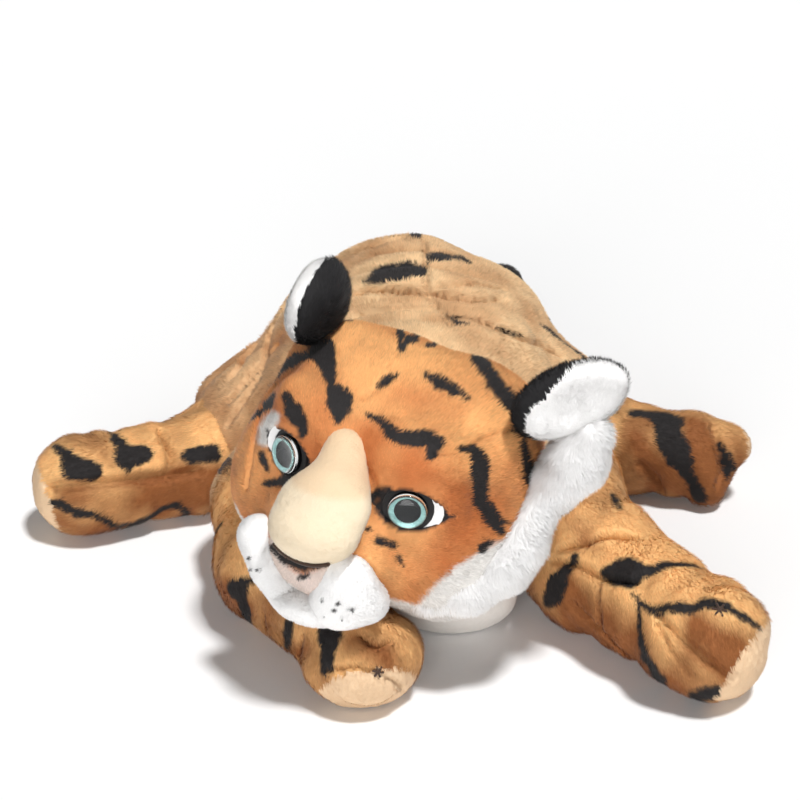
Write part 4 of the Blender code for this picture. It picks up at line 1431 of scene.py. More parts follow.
@dataclass
class HeadCoat:
    """The head, without its face pieces."""

    marks: tuple = (
        Mark(((322, 352), (326, 366), (331, 384)), (26, 19, 9)),
        Mark(((330, 386), (340, 402), (338, 423)), (10, 29, 6)),
        Mark(((286, 397), (294, 412), (303, 430), (301, 437)), (10, 17, 16, 7)),
        Mark(((264, 485), (287, 481)), (5, 15)),
        Mark(((376, 388), (386, 382), (396, 377)), (4, 10, 4)),
        Mark(((425, 378), (436, 383), (450, 389), (467, 400)), (5, 13, 11, 3)),
        Mark(((366, 416), (380, 422), (392, 434), (405, 440), (425, 438), (436, 444)),
             (4, 10, 15, 16, 17, 16)),
        Mark(((434, 444), (430, 458)), (18, 8)),
        Mark(((461, 450), (473, 451), (479, 466), (478, 484), (479, 502), (490, 517),
              (500, 534)), (7, 15, 21, 15, 17, 19, 6)),
        Mark(((495, 519), (506, 523)), (9, 4)),
        Mark(((512, 431), (521, 437), (522, 455), (528, 473), (528, 488)), (8, 8, 9, 15, 5)),
        Mark(((427, 347), (441, 346), (456, 350), (470, 356), (483, 370), (497, 390),
              (509, 404)), (4, 8, 11, 13, 15, 19, 17)),
        Mark(((396, 325), (399, 339), (399, 355)), (7, 9, 3)),
        Mark(((400, 350), (408, 342), (420, 338)), (9, 9, 3)),
        Mark(((345, 323), (375, 321), (390, 321), (397, 326)), (3, 3, 4, 5)),
        Mark(((356, 527), (369, 530)), (9, 4)),
        Mark(((378, 540), (394, 545)), (10, 9)),
        Mark(((480, 549), (488, 543)), (9, 5)),
        Mark(((397, 557), (402, 567)), (4, 2)),
        Mark(((368, 500), (377, 494), (389, 490)), (8, 12, 7)),
        Mark(((262, 455), (268, 470)), (7, 6)),
        Mark(((288, 475), (298, 466)), (6, 4)),
        Mark(((272, 547), (284, 560), (298, 566), (330, 565)), (4, 8, 8, 3)),
        Mark(((299, 578), (308, 575)), (5, 4)),
        Mark(((-172, 168), (-154, 158), (-142, 138)), (5, 12, 4), View.RIGHT),
        Mark(((-150, 186), (-132, 172), (-122, 150)), (5, 13, 4), View.RIGHT),
        Mark(((-54, 160), (-40, 176), (-18, 184)), (4, 11, 4), View.BEHIND),
        Mark(((12, 180), (34, 170), (50, 150)), (4, 12, 4), View.BEHIND),
    )
    pale_marks: tuple = (
        Mark(((566, 452), (551, 482), (538, 515), (520, 552), (464, 584), (420, 613)),
             (24, 34, 32, 42, 38, 20)),
        Mark(((264, 441), (267, 428), (276, 416)), (12, 15, 8)),
        Mark(((298, 332), (290, 350), (282, 372)), (18, 14, 5)),
    )
    cream_marks: tuple = (
        Mark(((270, 545), (280, 568), (300, 590), (320, 575), (345, 562)), (16, 18, 24, 14, 6)),
    )
    # Patches of painted shade.
    head_shade_patches: tuple = (
        Mark(((372, 440), (410, 470), (462, 520), (450, 560)), (30, 60, 60, 40)),
        Mark(((395, 392), (425, 405), (455, 418)), (18, 26, 14)),
    )
    # Patches of painted highlight.
    head_highlight_patches: tuple = (
        Mark(((350, 345), (372, 365), (362, 400)), (40, 50, 26)),
        Mark(((478, 425), (505, 414)), (18, 20)),
        Mark(((356, 512), (372, 560), (392, 580)), (18, 26, 16)),
    )
    folds: tuple = (
        Mark(((512, 427), (490, 436), (455, 452), (435, 455)), (5, 8, 6, 4)),
        Mark(((393, 352), (392, 378), (362, 400)), (5, 7, 6)),
        Mark(((378, 500), (372, 478), (362, 462)), (6, 9, 6)),
        Mark(((278, 385), (262, 405), (254, 440), (246, 490)), (6, 9, 8, 6)),
    )

    def build(self) -> None:
        """Makes the head's coat."""
        middle = np.array(HEAD_AT)
        skin = wrap(HEAD_FORM, tuple(middle - 0.125), tuple(middle + 0.125), 0.0026)
        creases = Creases(self.folds, 0.003)
        skin = creases.press(skin)
        pale = Markings(skin, self.pale_marks, 0.003)
        cream = Markings(skin, self.cream_marks, 0.003)
        # Patches of painted shade and of painted highlight.
        dark = Markings(skin, self.head_shade_patches, 0.016)
        light = Markings(skin, self.head_highlight_patches, 0.012)

        def tone_and_shade(points: np.ndarray) -> np.ndarray:
            """Rich orange on the cheeks, lighter on the brow, with painted shade and highlights.
            """
            local = (points - middle) @ HEAD
            brow = 7.0 * np.clip(local[:, 2] - 0.020, 0, None) + 4.0 * np.clip(
                local[:, 2], -0.06, 0)
            # Painted shade in the folds and shade patches, painted highlights in the light
            # patches.
            painted_shading = 0.6 * creases.shade(points)
            painted_shading += 0.35 * dark.mask(points) - 0.45 * light.mask(points)
            return np.clip(0.64 - brow + mottle(points, 25) + painted_shading, 0, 1)

        def white(points: np.ndarray) -> np.ndarray:
            """White under the cheeks."""
            local = (points - middle) @ HEAD
            low = -local[:, 2] - 0.046 + 0.004 * lattice(points, 0.012, 26, 1)[:, 0]
            cheeks = np.maximum(np.clip(0.5 + low / 0.004, 0, 1), pale.mask(points))
            return np.maximum(cheeks, 0.72 * cream.mask(points))

        def trim(points: np.ndarray) -> np.ndarray:
            """Short pile on the face, longer to the back."""
            local = (points - middle) @ HEAD
            near = np.min([np.linalg.norm(local - np.array((EYE_AT[0] * s, *EYE_AT[1:])), axis=1)
                           for s in SIDES.values()], 0)
            face = np.clip(0.55 + (0.09 - local[:, 1]) * 6.0, 0.55, 1.1)
            return face * np.clip(0.35 + (near - 0.014) / 0.02, 0.35, 1.0)

        def keep(points: np.ndarray) -> np.ndarray:
            """Out of the trunk and off the eyes' felts."""
            local = (points - middle) @ HEAD
            return (eye_seats(local) < -0.0010) & outside(TRUNK, depth=0.010)(points)

        coat = Coat("head_coat", skin, Pile(0.0040, density=1.5), HEAD_COAT, face_flow,
                    "tan_fur", 171, ("head",), HeadMarkings(skin, self.marks), tone_and_shade, white,
                    trim, keep, fill=0.7)
        for obj in coat.build():
            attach(obj, "head")


@dataclass
class FacePiece:
    """A small sewn piece of the face."""

    node: str
    form: Form
    pile: Pile
    finish: PileFinish
    slot: str
    seed: int
    marks: tuple = ()
    reach: float = 0.07
    step: float = 0.0022
    flow: Flow = face_flow
    tone_and_shade: Optional[Callable[[np.ndarray], np.ndarray]] = None

    def build(self) -> None:
        """Makes the piece and sets it on the head."""
        centre = on_head(self.form.parts[0].centre)
        skin = wrap(self.form, tuple(centre - self.reach), tuple(centre + self.reach), self.step)
        coat = Coat(self.node + "_coat", skin, self.pile, self.finish, self.flow, self.slot,
                    self.seed, (self.node,), Markings(skin, self.marks, 0.0008), self.tone_and_shade,
                    keep=outside(HEAD_FORM, depth=0.002))
        for obj in coat.build():
            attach(obj, "head")


@dataclass
class Ear:
    """One ear: black back and white lining."""

    side: str
    at: Point
    radii: Point
    spread: float
    lean: float = 20.0
    facing: float = -0.05
    rim: float = 0.0

    def build(self) -> None:
        """Makes both halves of the ear."""
        sign = SIDES[self.side]
        centre = np.array((self.at[0] * sign, self.at[1], self.at[2]))
        axes = turned(spread=self.spread * sign, lean=self.lean * sign)
        front = axes[:, 1]
        hollow = tuple(centre + front * (self.radii[1] + 0.005) + axes[:, 2] * 0.002)
        inner = (self.radii[0] * 0.72, 0.011, self.radii[2] * 0.76)
        form = Form((
            Mound(tuple(centre), self.radii, spread=self.spread * sign, lean=self.lean * sign),
            Mound(hollow, inner, 0.012, spread=self.spread * sign, lean=self.lean * sign,
                  dent=True),
        ), on_head=True)
        middle = on_head(centre)
        skin = wrap(form, tuple(middle - 0.06), tuple(middle + 0.06), 0.0022)
        ahead = HEAD @ front
        lined = skin.normals[skin.faces].mean(1) @ ahead > self.facing
        local = ((skin.centres() - np.array(HEAD_AT)) @ HEAD - centre) @ axes
        level = np.hypot(local[:, 0] / self.radii[0], local[:, 2] / self.radii[2])
        angle = np.degrees(np.arctan2(local[:, 2], -local[:, 0] * sign))
        lip = np.clip(1 - np.abs(angle - 40.0) / 75.0, 0, 1) * self.rim
        lined &= level < 1.0 - lip
        outward = HEAD @ axes[:, 2]

        def combed(points: np.ndarray) -> np.ndarray:
            """Outwards from the ear's root."""
            return points - (middle - outward * 0.05)

        keep = outside(HEAD_FORM, depth=0.003)
        back = Coat("ear_back_" + self.side + "_coat", skin.part(~lined),
                    Pile(0.0050, density=1.6, tangle=0.3), EAR_COAT, combed, "black_fur",
                    181 + int(sign), ("ear_back_" + self.side,), keep=keep)
        lining = Coat("ear_lining_" + self.side + "_coat", skin.part(lined),
                      Pile(0.0040, density=1.8), WHITE_COAT, combed, "white_fur",
                      191 + int(sign), ("ear_lining_" + self.side,), keep=keep)
        for obj in back.build() + lining.build():
            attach(obj, "head")


@dataclass
class Eye:
    """The hard pieces of an eye. All but the lens keep their solids' shapes."""

    side: str
    radius: float = 0.0114
    base: float = 0.0028
    edge: float = 0.0034
    crown: float = 0.0080
    rings: int = 14
    sides: int = 56

    def build(self) -> None:
        """Makes the domed lens and gives each piece its finish."""
        self._lens()
        ring = np.mean([tuple(c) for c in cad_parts["eye_iris_" + self.side].bound_box], 0)
        finishes = {
            "eye_iris_": IrisFinish("iris_" + self.side, tuple(ring)),
            "eye_post_": HardFinish("black_plastic_" + self.side, (0.004, 0.004, 0.005), 0.3,
                                    gloss=0.15),
            "eye_washer_": HardFinish("washer_plastic_" + self.side, (0.75, 0.75, 0.73), 0.4),
            "eye_felt_": ClothFinish("black_felt_" + self.side, (0.012, 0.011, 0.011), 1400.0),
            "eye_corner_": ClothFinish("white_felt_" + self.side, (0.90, 0.89, 0.88), 1400.0),
        }
        for prefix, finish in finishes.items():
            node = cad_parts[prefix + self.side]
            node.data.materials.clear()
            node.data.materials.append(finish.material())
            LOG.info("%s dressed", node.name)

    def _lens(self) -> None:
        """Makes the clear dome, turned like the moulded one."""
        sign = SIDES[self.side]
        axes = HEAD @ turned(spread=EYE_SPREAD * sign)
        middle = on_head((EYE_AT[0] * sign, EYE_AT[1], EYE_AT[2]))
        angles = np.linspace(0, math.pi / 2, self.rings)[:-1]
        profile = [(self.radius * 0.5, self.base), (self.radius * 0.97, self.base)]
        profile += [(self.radius * math.cos(a),
                     self.edge + (self.crown - self.edge) * math.sin(a)) for a in angles]
        round_ = 2 * np.pi * np.arange(self.sides) / self.sides
        rows = [np.stack((r * np.cos(round_), np.full(self.sides, level),
                          r * np.sin(round_)), 1) for r, level in profile]
        ends = np.array(((0.0, self.base, 0.0), (0.0, self.crown, 0.0)))
        points = middle + np.concatenate(rows + [ends]) @ axes.T
        faces, first = [], len(profile) * self.sides
        for k in range(self.sides):
            j = (k + 1) % self.sides
            faces.append((first, j, k))
            faces += [(row * self.sides + k, row * self.sides + j, (row + 1) * self.sides + j,
                       (row + 1) * self.sides + k) for row in range(len(profile) - 1)]
            last = (len(profile) - 1) * self.sides
            faces.append((last + k, last + j, first + 1))
        lens = mesh_object("lens_" + self.side, points, faces)
        lens.data.materials.append(HardFinish("clear_lens_" + self.side, (0.97, 0.99, 0.99),
                                              0.02, 1.0, bending=1.32).material())
        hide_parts("eye_lens_" + self.side)
        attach(lens, "head")
        LOG.info("lens_%s: %d faces", self.side, len(faces))


def tube(path: np.ndarray, radius: float, sides: int = 8) -> tuple[np.ndarray, np.ndarray]:
    """A round thread along a path, with closed ends.

    Args:
        path: N by 3.
        radius: of the thread.
        sides: of its section.
    Returns:
        Points and four-sided faces.
    """
    along = unit(np.gradient(path, axis=0))
    across = unit(np.cross(along, (0.31, 0.17, 0.93)))
    upward = np.cross(along, across)
    rings = []
    for share, size in ((0, 0.35), *((k, 1.0) for k in range(len(path))), (-1, 0.35)):
        shift = along[share] * radius * (0.6 if size < 1 and share == -1 else
                                         -0.6 if size < 1 else 0)
        angles = 2 * np.pi * np.arange(sides) / sides
        rings.append(path[share] + shift + radius * size * (
            np.cos(angles)[:, None] * across[share] + np.sin(angles)[:, None] * upward[share]))
    points = np.concatenate(rings)
    faces = []
    for row in range(len(rings) - 1):
        for k in range(sides):
            a, b = row * sides + k, row * sides + (k + 1) % sides
            faces.append((a, b, b + sides, a + sides))
    caps = [(0, 3, 2, 1), (0, 7, 4, 3), (4, 7, 6, 5)]
    last = (len(rings) - 1) * sides
    faces += caps + [tuple(last + v for v in reversed(cap)) for cap in caps]
    return points, np.array(faces)


@dataclass
class Stitch:
    """A run of thick thread laid on a form."""

    name: str
    node: str
    body: str
    form: Form
    paths: tuple
    radius: float
    finish: ClothFinish

    def build(self) -> None:
        """Lays the thread on the surface and sets it on its body."""
        points, faces, done = [], [], 0
        for path in self.paths:
            rough = np.array(path, float)
            steps = np.linspace(0, len(rough) - 1, 4 * len(rough))
            line = np.stack([np.interp(steps, np.arange(len(rough)), rough[:, k])
                             for k in range(3)], 1)
            for _ in range(3):
                line = line - self.form.normals(line) * self.form.distance(line)[:, None]
            line = line + self.form.normals(line) * self.radius * 0.7
            some, rows = tube(line, self.radius)
            points.append(some)
            faces.append(rows + done)
            done += len(some)
        obj = mesh_object(self.name, np.concatenate(points), np.concatenate(faces))
        obj.data.materials.append(self.finish.material())
        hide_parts(self.node)
        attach(obj, self.body)
        LOG.info("%s laid", self.name)


@dataclass
class PlainPiece:
    """A plain cloth piece on the belly or inside it."""

    name: str
    node: str
    form: Form
    box: tuple
    finish: ClothFinish
    slot: str
    fill: float

    def build(self) -> None:
        """Makes the piece and sets it on the trunk."""
        skin = wrap(self.form, *self.box, 0.003)
        obj = mesh_object(self.name, skin.points, skin.faces, skin.normals)
        obj.data.materials.append(self.finish.material())
        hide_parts(self.node)
        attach(obj, "trunk")
        LOG.info("%s: %d faces", self.name, len(skin.faces))


@dataclass
class Studio:
    """Pale floor, white backdrop and soft light."""

    floor_size: float = 12.0
    sun: float = 2.75
    front: float = 2.4
    sky: float = 0.09

    def build(self) -> None:
        """Makes the floor, the world and the lamps."""
        half = self.floor_size / 2
        corners = np.array(((-half, -half, 0), (half, -half, 0), (half, half, 0),
                            (-half, half, 0)), float)
        floor = mesh_object("studio_floor", corners, np.array(((0, 1, 2, 3),)))
        floor.location.z = -0.0002
        made = bpy.data.materials.new("studio_floor")
        made.use_nodes = True
        nodes = Nodes(made.node_tree)
        shader = made.node_tree.nodes["Principled BSDF"]
        shader.inputs["Base Color"].default_value = (0.94, 0.94, 0.94, 1.0)
        shader.inputs["Roughness"].default_value = 0.9
        shader.inputs["Specular IOR Level"].default_value = 0.0
        shader.inputs["Emission Color"].default_value = (1.0, 1.0, 1.0, 1.0)
        sight = nodes.add("LightPath").outputs["Is Camera Ray"]
        glow = nodes.math("MULTIPLY", sight, 0.035)
        made.node_tree.links.new(glow, shader.inputs["Emission Strength"])
        floor.data.materials.append(made)
        self._sky()
        for name, place, power, angle in (
                ("key_sun", (11.0, 14.0, 0.0), self.sun, 8.0),
                ("front_sun", (83.0, 0.0, -10.0), self.front, 40.0)):
            data = bpy.data.lights.new(name, "SUN")
            data.energy = power
            data.angle = math.radians(angle)
            lamp = bpy.data.objects.new(name, data)
            lamp.rotation_euler = tuple(math.radians(v) for v in place)
            bpy.context.scene.collection.objects.link(lamp)

    def _sky(self) -> None:
        """A plain world that looks white and lights evenly."""
        world = bpy.data.worlds.new("studio_world")
        world.use_nodes = True
        bpy.context.scene.world = world
        tree = world.node_tree
        nodes = Nodes(tree)
        plain = tree.nodes["Background"]
        plain.inputs["Color"].default_value = (1.0, 1.0, 1.0, 1.0)
        plain.inputs["Strength"].default_value = self.sky
        white = nodes.add("Background", {"Color": (1, 1, 1, 1), "Strength": 1.0})
        path = nodes.add("LightPath")
        seen = nodes.math("MAXIMUM", path.outputs["Is Camera Ray"],
                          path.outputs["Is Glossy Ray"])
        seen = nodes.math("MAXIMUM", seen, path.outputs["Is Transmission Ray"])
        both = nodes.add("MixShader", {0: seen, 1: plain.outputs[0], 2: white.outputs[0]})
        tree.links.new(both.outputs[0], tree.nodes["World Output"].inputs["Surface"])


def face_pieces() -> list[FacePiece]:
    """Nose, whisker pads, chin and ruffs."""
    nose = Form((
        Mound((-0.001, 0.098, -0.004), (0.0275, 0.0165, 0.0180), lean=-12.0),
        Mound((-0.001, 0.089, 0.013), (0.0275, 0.0125, 0.0165), 0.016, lean=-14.0),
        Roll((-0.006, 0.064, 0.036), (0.000, 0.079, 0.022), (0.0138, 0.0172), 0.014),
    ), on_head=True, floor=0.046)

    def darker_to_brow(points: np.ndarray) -> np.ndarray:
        """Darker towards the brow."""
        local = (points - np.array(HEAD_AT)) @ HEAD
        above = local[:, 2] - 0.0225 - 0.18 * local[:, 0]
        return np.clip(0.35 + above * 150.0, 0.10, 0.60) + np.clip(above * 8.0, 0, 0.3)

    made = [FacePiece("nose", nose, Pile(0.0017, 0.0004, 2.0, 1.8, 0.1, 0.1), CREAM_COAT,
                      "cream_pile", 201, tone_and_shade=darker_to_brow)]
    pads = {
        "left": (Mound((0.024, 0.090, -0.032), (0.0185, 0.0130, 0.0205)),
                 Mound((0.037, 0.083, -0.041), (0.0120, 0.0120, 0.0120), 0.012),
                 Mound((0.019, 0.091, -0.050), (0.0150, 0.0110, 0.0120), 0.012)),
        "right": (Mound((-0.041, 0.082, -0.033), (0.0125, 0.0115, 0.0135), lean=30.0),
                  Mound((-0.026, 0.088, -0.047), (0.0170, 0.0110, 0.0120), 0.010, lean=37.0),
                  Mound((-0.007, 0.091, -0.057), (0.0140, 0.0110, 0.0110), 0.010, lean=25.0)),
    }
    dots = {
        "left": ((322, 600), (338, 603), (334, 610), (324, 615), (351, 610), (341, 619)),
        "right": ((249, 558), (251, 570), (258, 570)),
    }
    ruffs = {
        "left": ((0.111, -0.014, 0.067), (0.106, -0.013, 0.048), (0.099, -0.010, 0.031),
                 (0.095, -0.003, 0.016), (0.094, 0.004, 0.006), (0.095, 0.012, -0.005),
                 (0.092, 0.022, -0.017), (0.078, 0.035, -0.034), (0.058, 0.044, -0.044)),
        "right": ((-0.081, -0.030, 0.038), (-0.084, -0.027, 0.014), (-0.081, -0.018, -0.012),
                  (-0.074, -0.004, -0.032), (-0.060, 0.018, -0.048), (-0.040, 0.032, -0.054)),
    }
    sizes = {"left": (0.0110, 0.0165, 0.0130, 0.0092, 0.0100, 0.0128, 0.0140, 0.0125, 0.0110),
             "right": (0.008, 0.011, 0.012, 0.012, 0.012, 0.010)}
    for side, sign in SIDES.items():
        spots = tuple(Mark((p,), (3.0,)) for p in dots[side])
        made.append(FacePiece("whisker_pad_" + side, Form(pads[side], on_head=True, floor=0.046),
                              Pile(0.0020, 0.0004, 2.0, 1.8, 0.1), WHITE_COAT, "white_fur",
                              202 + int(sign), spots))
        line, wide = ruffs[side], sizes[side]
        rolls = tuple(Roll(line[k], line[k + 1], wide[k:k + 2], 0.008)
                      for k in range(len(line) - 1))
        made.append(RuffPiece("cheek_ruff_" + side, Form(rolls, on_head=True, floor=0.050),
                              Pile(0.0056 if sign > 0 else 0.0028, 0.00045, 1.9, 1.7, 0.2),
                              WHITE_COAT, "white_fur",
                              212 + int(sign), flow=ruff_flow, step=0.0028))
    chin = Form((Mound((0.002, 0.086, -0.056), (0.024, 0.020, 0.011)),), on_head=True,
                floor=0.048)
    made.append(FacePiece("chin", chin, Pile(0.0030, 0.0005, 1.2), WHITE_COAT, "white_fur", 221))
    return made


def ruff_flow(points: np.ndarray) -> np.ndarray:
    """Down and back from the cheek."""
    local = (points - np.array(HEAD_AT)) @ HEAD
    way = np.stack((local[:, 0] * 4.0, np.full(len(points), -0.35),
                    np.full(len(points), -0.75)), 1)
    return way @ HEAD.T


@dataclass
class RuffPiece(FacePiece):
    """A long white ruff behind a cheek."""

    def build(self) -> None:
        """Makes the ruff and sets it on the head."""
        skin = wrap(self.form, tuple(np.array(HEAD_AT) - 0.13), tuple(np.array(HEAD_AT) + 0.13),
                    self.step)
        coat = Coat(self.node + "_coat", skin, self.pile, self.finish, self.flow, self.slot,
                    self.seed, (self.node,), keep=outside(HEAD_FORM, depth=0.002))
        for obj in coat.build():
            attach(obj, "head")


def hind_legs() -> tuple[HindLegCoat, ...]:
    """The hind legs' coats with their marks and folds."""
    coats = {
        "left": HindLegCoat("left", ((0.045, -0.03, -0.004), (0.25, 0.11, 0.10)),
                            (0.202, 0.024, 0.0325), (0.92, 0.34, -0.18), 0.0225,
                            (Mark(((630, 413), (640, 414), (655, 418), (664, 430), (674, 448),
                                   (684, 466), (692, 484), (699, 497)),
                                  (8, 9, 17, 30, 29, 16, 13, 13)),
                             Mark(((655, 415), (668, 418), (680, 423)), (8, 9, 9)),
                             Mark(((720, 446), (724, 456), (727, 466), (724, 478)),
                                  (8, 14, 13, 4)),
                             Mark(((124, 60), (130, 42), (126, 26)), (4, 12, 4), View.BEHIND),
                             Mark(((196, 52), (202, 38), (196, 24)), (4, 12, 4), View.BEHIND)),
                            (Mark(((640, 462), (655, 478), (662, 495)), (6, 10, 7)),
                             Mark(((712, 425), (716, 440), (722, 470), (716, 488)),
                                  (6, 8, 8, 5))),
                            # Patches of painted shade.
                            (Mark(((632, 435), (642, 458)), (26, 22)),
                             Mark(((698, 430), (704, 462)), (26, 20)),
                             Mark(((738, 440), (736, 456)), (24, 18)))),
        "right": HindLegCoat("right", ((-0.275, -0.075, -0.004), (-0.045, 0.11, 0.10)),
                             (-0.222, -0.022, 0.0345), (-0.94, -0.26, -0.22), 0.0275,
                             (Mark(((57, 447), (68, 455)), (7, 13)),
                              Mark(((76, 467), (94, 472)), (27, 19)),
                              Mark(((113, 435), (122, 446)), (6, 15)),
                              Mark(((128, 456), (144, 454)), (26, 20)),
                              Mark(((128, 462), (130, 471)), (16, 6)),
                              Mark(((191, 456), (213, 453)), (16, 20)),
                              Mark(((54, 502), (66, 505), (78, 513), (95, 514), (106, 519),
                                    (117, 526), (135, 523), (155, 514), (166, 507), (180, 505),
                                    (188, 512)), (9, 10, 10, 7, 7, 5, 4, 5, 4, 8, 8)),
                              Mark(((-124, 58), (-130, 42), (-126, 26)), (4, 12, 4),
                                   View.BEHIND),
                              Mark(((-166, 58), (-172, 42), (-168, 26)), (4, 13, 4),
                                   View.BEHIND),
                              Mark(((-210, 56), (-216, 40), (-210, 26)), (4, 12, 4),
                                   View.BEHIND)),
                             (Mark(((48, 486), (110, 482), (160, 476), (200, 470)),
                                   (9, 13, 13, 10)),
                              Mark(((160, 430), (172, 455), (170, 480)), (6, 10, 6))),
                             # Patches of painted shade.
                             (Mark(((70, 490), (120, 494), (165, 488), (215, 480)),
                                   (26, 34, 34, 30)),
                              Mark(((75, 440), (100, 448), (112, 465)), (16, 22, 14)))),
    }
    return tuple(coats.values())


def forelegs() -> tuple[ForelegCoat, ...]:
    """The forelegs' coats with their marks and folds."""
    coats = {
        "left": ForelegCoat("left", ((0.035, -0.275, -0.004), (0.225, -0.03, 0.115)),
                            (0.116, -0.145, 0.039), (0.55, -0.83, 0.0), (0.175, -0.223, 0.036),
                            (0.80, -0.50, -0.34), 0.026,
                            (Mark(((604, 571), (618, 573), (629, 572)), (11, 26, 31)),
                             Mark(((636, 573), (652, 569), (668, 564), (690, 565), (703, 569)),
                                  (13, 10, 7, 3, 2)),
                             Mark(((575, 557), (567, 568)), (7, 12)),
                             Mark(((562, 573), (556, 586), (551, 598)), (13, 23, 18)),
                             Mark(((655, 612), (672, 606), (690, 608), (705, 603), (720, 603),
                                   (738, 613), (760, 627)), (9, 10, 11, 10, 9, 8, 4)),
                             Mark(((631, 592), (640, 601), (653, 611)), (3, 4, 8)),
                             Mark(((638, 602), (640, 620), (641, 640), (645, 655), (655, 672),
                                   (668, 688), (680, 697)), (3, 4, 7, 10, 9, 9, 8)),
                             Mark(((682, 697), (700, 694), (716, 690), (730, 693)),
                                  (11, 15, 15, 9)),
                             Mark(((612, 494), (615, 502), (620, 509)), (4, 8, 3)),
                             Mark(((556, 513), (566, 507), (575, 497), (583, 490)),
                                  (10, 10, 6, 3)),
                             Mark(((128, 66), (136, 50), (132, 30)), (4, 12, 4), View.BEHIND),
                             Mark(((168, 56), (176, 42), (172, 28)), (4, 11, 4), View.BEHIND)),
                            (Mark(((560, 549), (590, 541), (605, 534), (640, 538)),
                                  (7, 9, 9, 6)),
                             Mark(((598, 578), (597, 600), (601, 632)), (5, 7, 5)),
                             Mark(((552, 560), (580, 566), (600, 578), (637, 582)),
                                  (6, 10, 10, 6)),
                             Mark(((572, 603), (600, 630), (625, 655)), (5, 8, 5)),
                             Mark(((656, 614), (682, 640), (708, 662), (734, 679)),
                                  (7, 12, 13, 8)),
                             Mark(((656, 622), (668, 645), (692, 676)), (4, 6, 5))),
                            # Patches of painted shade.
                            (Mark(((575, 592), (602, 618), (630, 650), (655, 690)),
                                  (34, 44, 40, 26)),
                             Mark(((700, 628), (728, 648), (745, 668)), (26, 36, 24)),
                             Mark(((575, 528), (590, 545)), (16, 14)))),
        "right": ForelegCoat("right", ((-0.15, -0.285, -0.004), (0.025, -0.03, 0.105)),
                             (-0.092, -0.143, 0.031), (0.35, -0.94, 0.0),
                             (-0.030, -0.233, 0.0275), (0.16, -0.78, -0.60), 0.016,
                             (Mark(((330, 634), (328, 650), (327, 668)), (26, 16, 13)),
                              Mark(((289, 622), (287, 640), (284, 656)), (11, 7, 5)),
                              Mark(((238, 597), (246, 612), (251, 628)), (6, 10, 5)),
                              Mark(((-128, 60), (-122, 44), (-126, 28)), (4, 11, 4),
                                   View.RIGHT),
                              Mark(((-178, 50), (-172, 38), (-176, 24)), (4, 11, 4),
                                   View.RIGHT)),
                             (Mark(((360, 634), (376, 647), (392, 640)), (5, 7, 5)),
                              Mark(((262, 612), (268, 650)), (6, 8)),
                              Mark(((302, 636), (298, 655), (304, 676)), (6, 7, 6)),
                              Mark(((324, 671), (356, 667), (380, 674), (404, 688)),
                                   (4, 5, 5, 4))),
                             # Patches of painted shade.
                             (Mark(((225, 590), (240, 625), (268, 655), (290, 672)),
                                   (24, 30, 30, 18)),
                              Mark(((352, 640), (385, 650)), (22, 26)))),
    }
    return tuple(coats.values())


def build_neck() -> None:
    """Makes the neck's coat, which turns with the neck."""
    neck = wrap(NECK_FORM, (-0.08, -0.16, 0.04), (0.10, 0.0, 0.15), 0.003)
    for obj in Coat("neck_coat", neck, Pile(), BODY_COAT, toward(0, 1, -0.3), "tan_fur",
                    231, ("neck",), keep=outside(TRUNK, HEAD_FORM)).build():
        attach(obj, "neck")


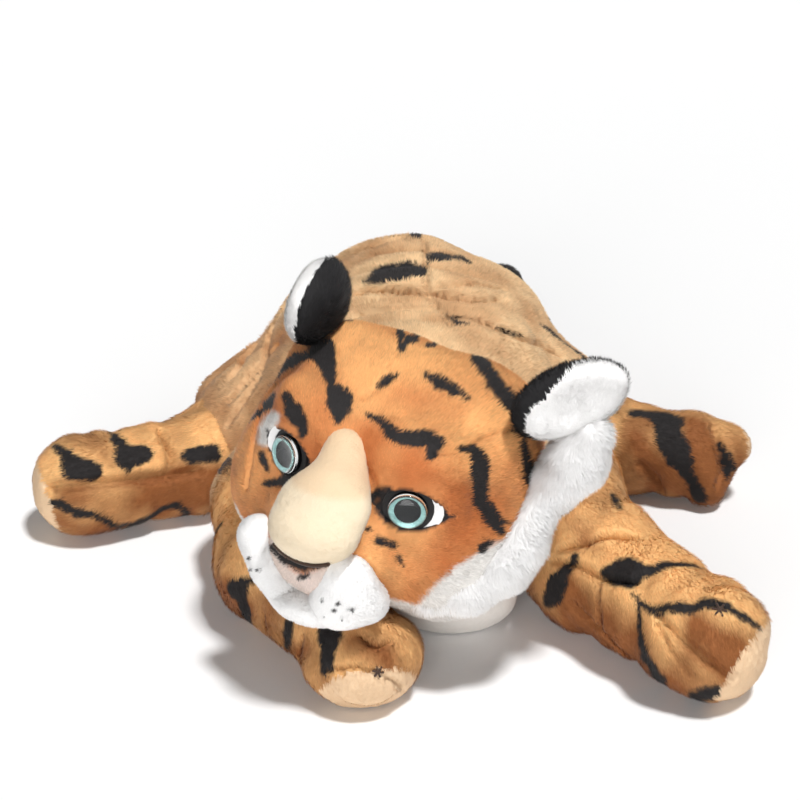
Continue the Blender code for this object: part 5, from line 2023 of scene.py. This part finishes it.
def build_stitches() -> None:
    """Makes the mouth line and the toe stitches."""
    thread = ClothFinish("brown_thread", (0.05, 0.025, 0.015), 1600.0, 0.3)
    nose_form = face_pieces()[0].form
    Stitch("mouth_line_thread", "mouth_line", "head", nose_form,
           ((on_head((-0.020, 0.104, -0.018)), on_head((-0.014, 0.106, -0.024)),
             on_head((-0.006, 0.108, -0.026)), on_head((0.004, 0.108, -0.021)),
             on_head((0.018, 0.108, -0.014))),), 0.0013, thread).build()
    for side, face in (("left", (0.10, -0.55, 0.83)), ("right", (0.30, -0.90, 0.30))):
        paw = np.array({"left": (0.175, -0.223, 0.036), "right": (-0.030, -0.233, 0.0275)}[side])
        spot = paw + unit(np.array(face)) * 0.037
        arms = []
        for k in range(3):
            angle = math.pi * k / 3
            across = np.cross(face, STITCH_HEADING)
            way = unit(across) * math.cos(angle)
            way = way + unit(np.cross(face, across)) * math.sin(angle)
            arms.append((spot - way * STITCH_REACH, spot, spot + way * STITCH_REACH))
        Stitch("toe_stitch_" + side + "_thread", "toe_stitch_" + side, "lower_foreleg_" + side,
               FORELEGS[side], tuple(arms), 0.0007, thread).build()


def build_cloths() -> None:
    """Makes the cloth pieces under and inside the toy."""
    PlainPiece("belly_cloth", "belly_panel",
               Form((Mound((0.0, 0.0, 0.0008), (0.052, 0.115, 0.0042)),), floor=0.0),
               ((-0.06, -0.12, -0.003), (0.06, 0.12, 0.009)),
               ClothFinish("belly_cloth", (0.72, 0.62, 0.48), 700.0), "cream_pile",
               0.3).build()
    PlainPiece("pellet_sack", "pellet_bag",
               Form((Mound((0.0, 0.010, 0.0053), (0.039, 0.069, 0.029)),), floor=0.0055,
                    wrinkles=0.0012, lumps=0.007),
               ((-0.05, -0.07, 0.0), (0.05, 0.09, 0.045)),
               ClothFinish("sack_cloth", (0.70, 0.69, 0.66), 900.0), "plain_cloth", 0.7).build()
    PlainPiece("throat_band", "throat_panel",
               Form((Mound((0.024, -0.150, 0.0205), (0.042, 0.026, 0.024)),), floor=0.001,
                    wrinkles=0.001),
               ((-0.03, -0.19, -0.004), (0.08, -0.11, 0.055)),
               ClothFinish("throat_cloth", (0.82, 0.78, 0.73), 500.0, 0.12), "cream_pile",
               0.6).build()


def main() -> None:
    """Builds the toy and its studio."""
    logging.basicConfig(level=logging.INFO, format="%(message)s")
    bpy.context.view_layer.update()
    bpy.context.scene.view_settings.view_transform = "Standard"
    Studio().build()
    CAMERA.build()
    TrunkCoat().build()
    for leg in (*hind_legs(), *forelegs()):
        leg.build()
    TailCoat().build()
    build_neck()
    HeadCoat().build()
    for piece in face_pieces():
        piece.build()
    Ear("left", (0.094, -0.006, 0.087), (0.0355, 0.012, 0.0225), 42.0, -30.0, rim=0.34).build()
    Ear("right", (0.077, -0.006, 0.080), (0.034, 0.017, 0.026), 80.0, 12.0,
        facing=0.12).build()
    for side in SIDES:
        Eye(side).build()
    build_stitches()
    build_cloths()


if __name__ == "__main__":
    main()
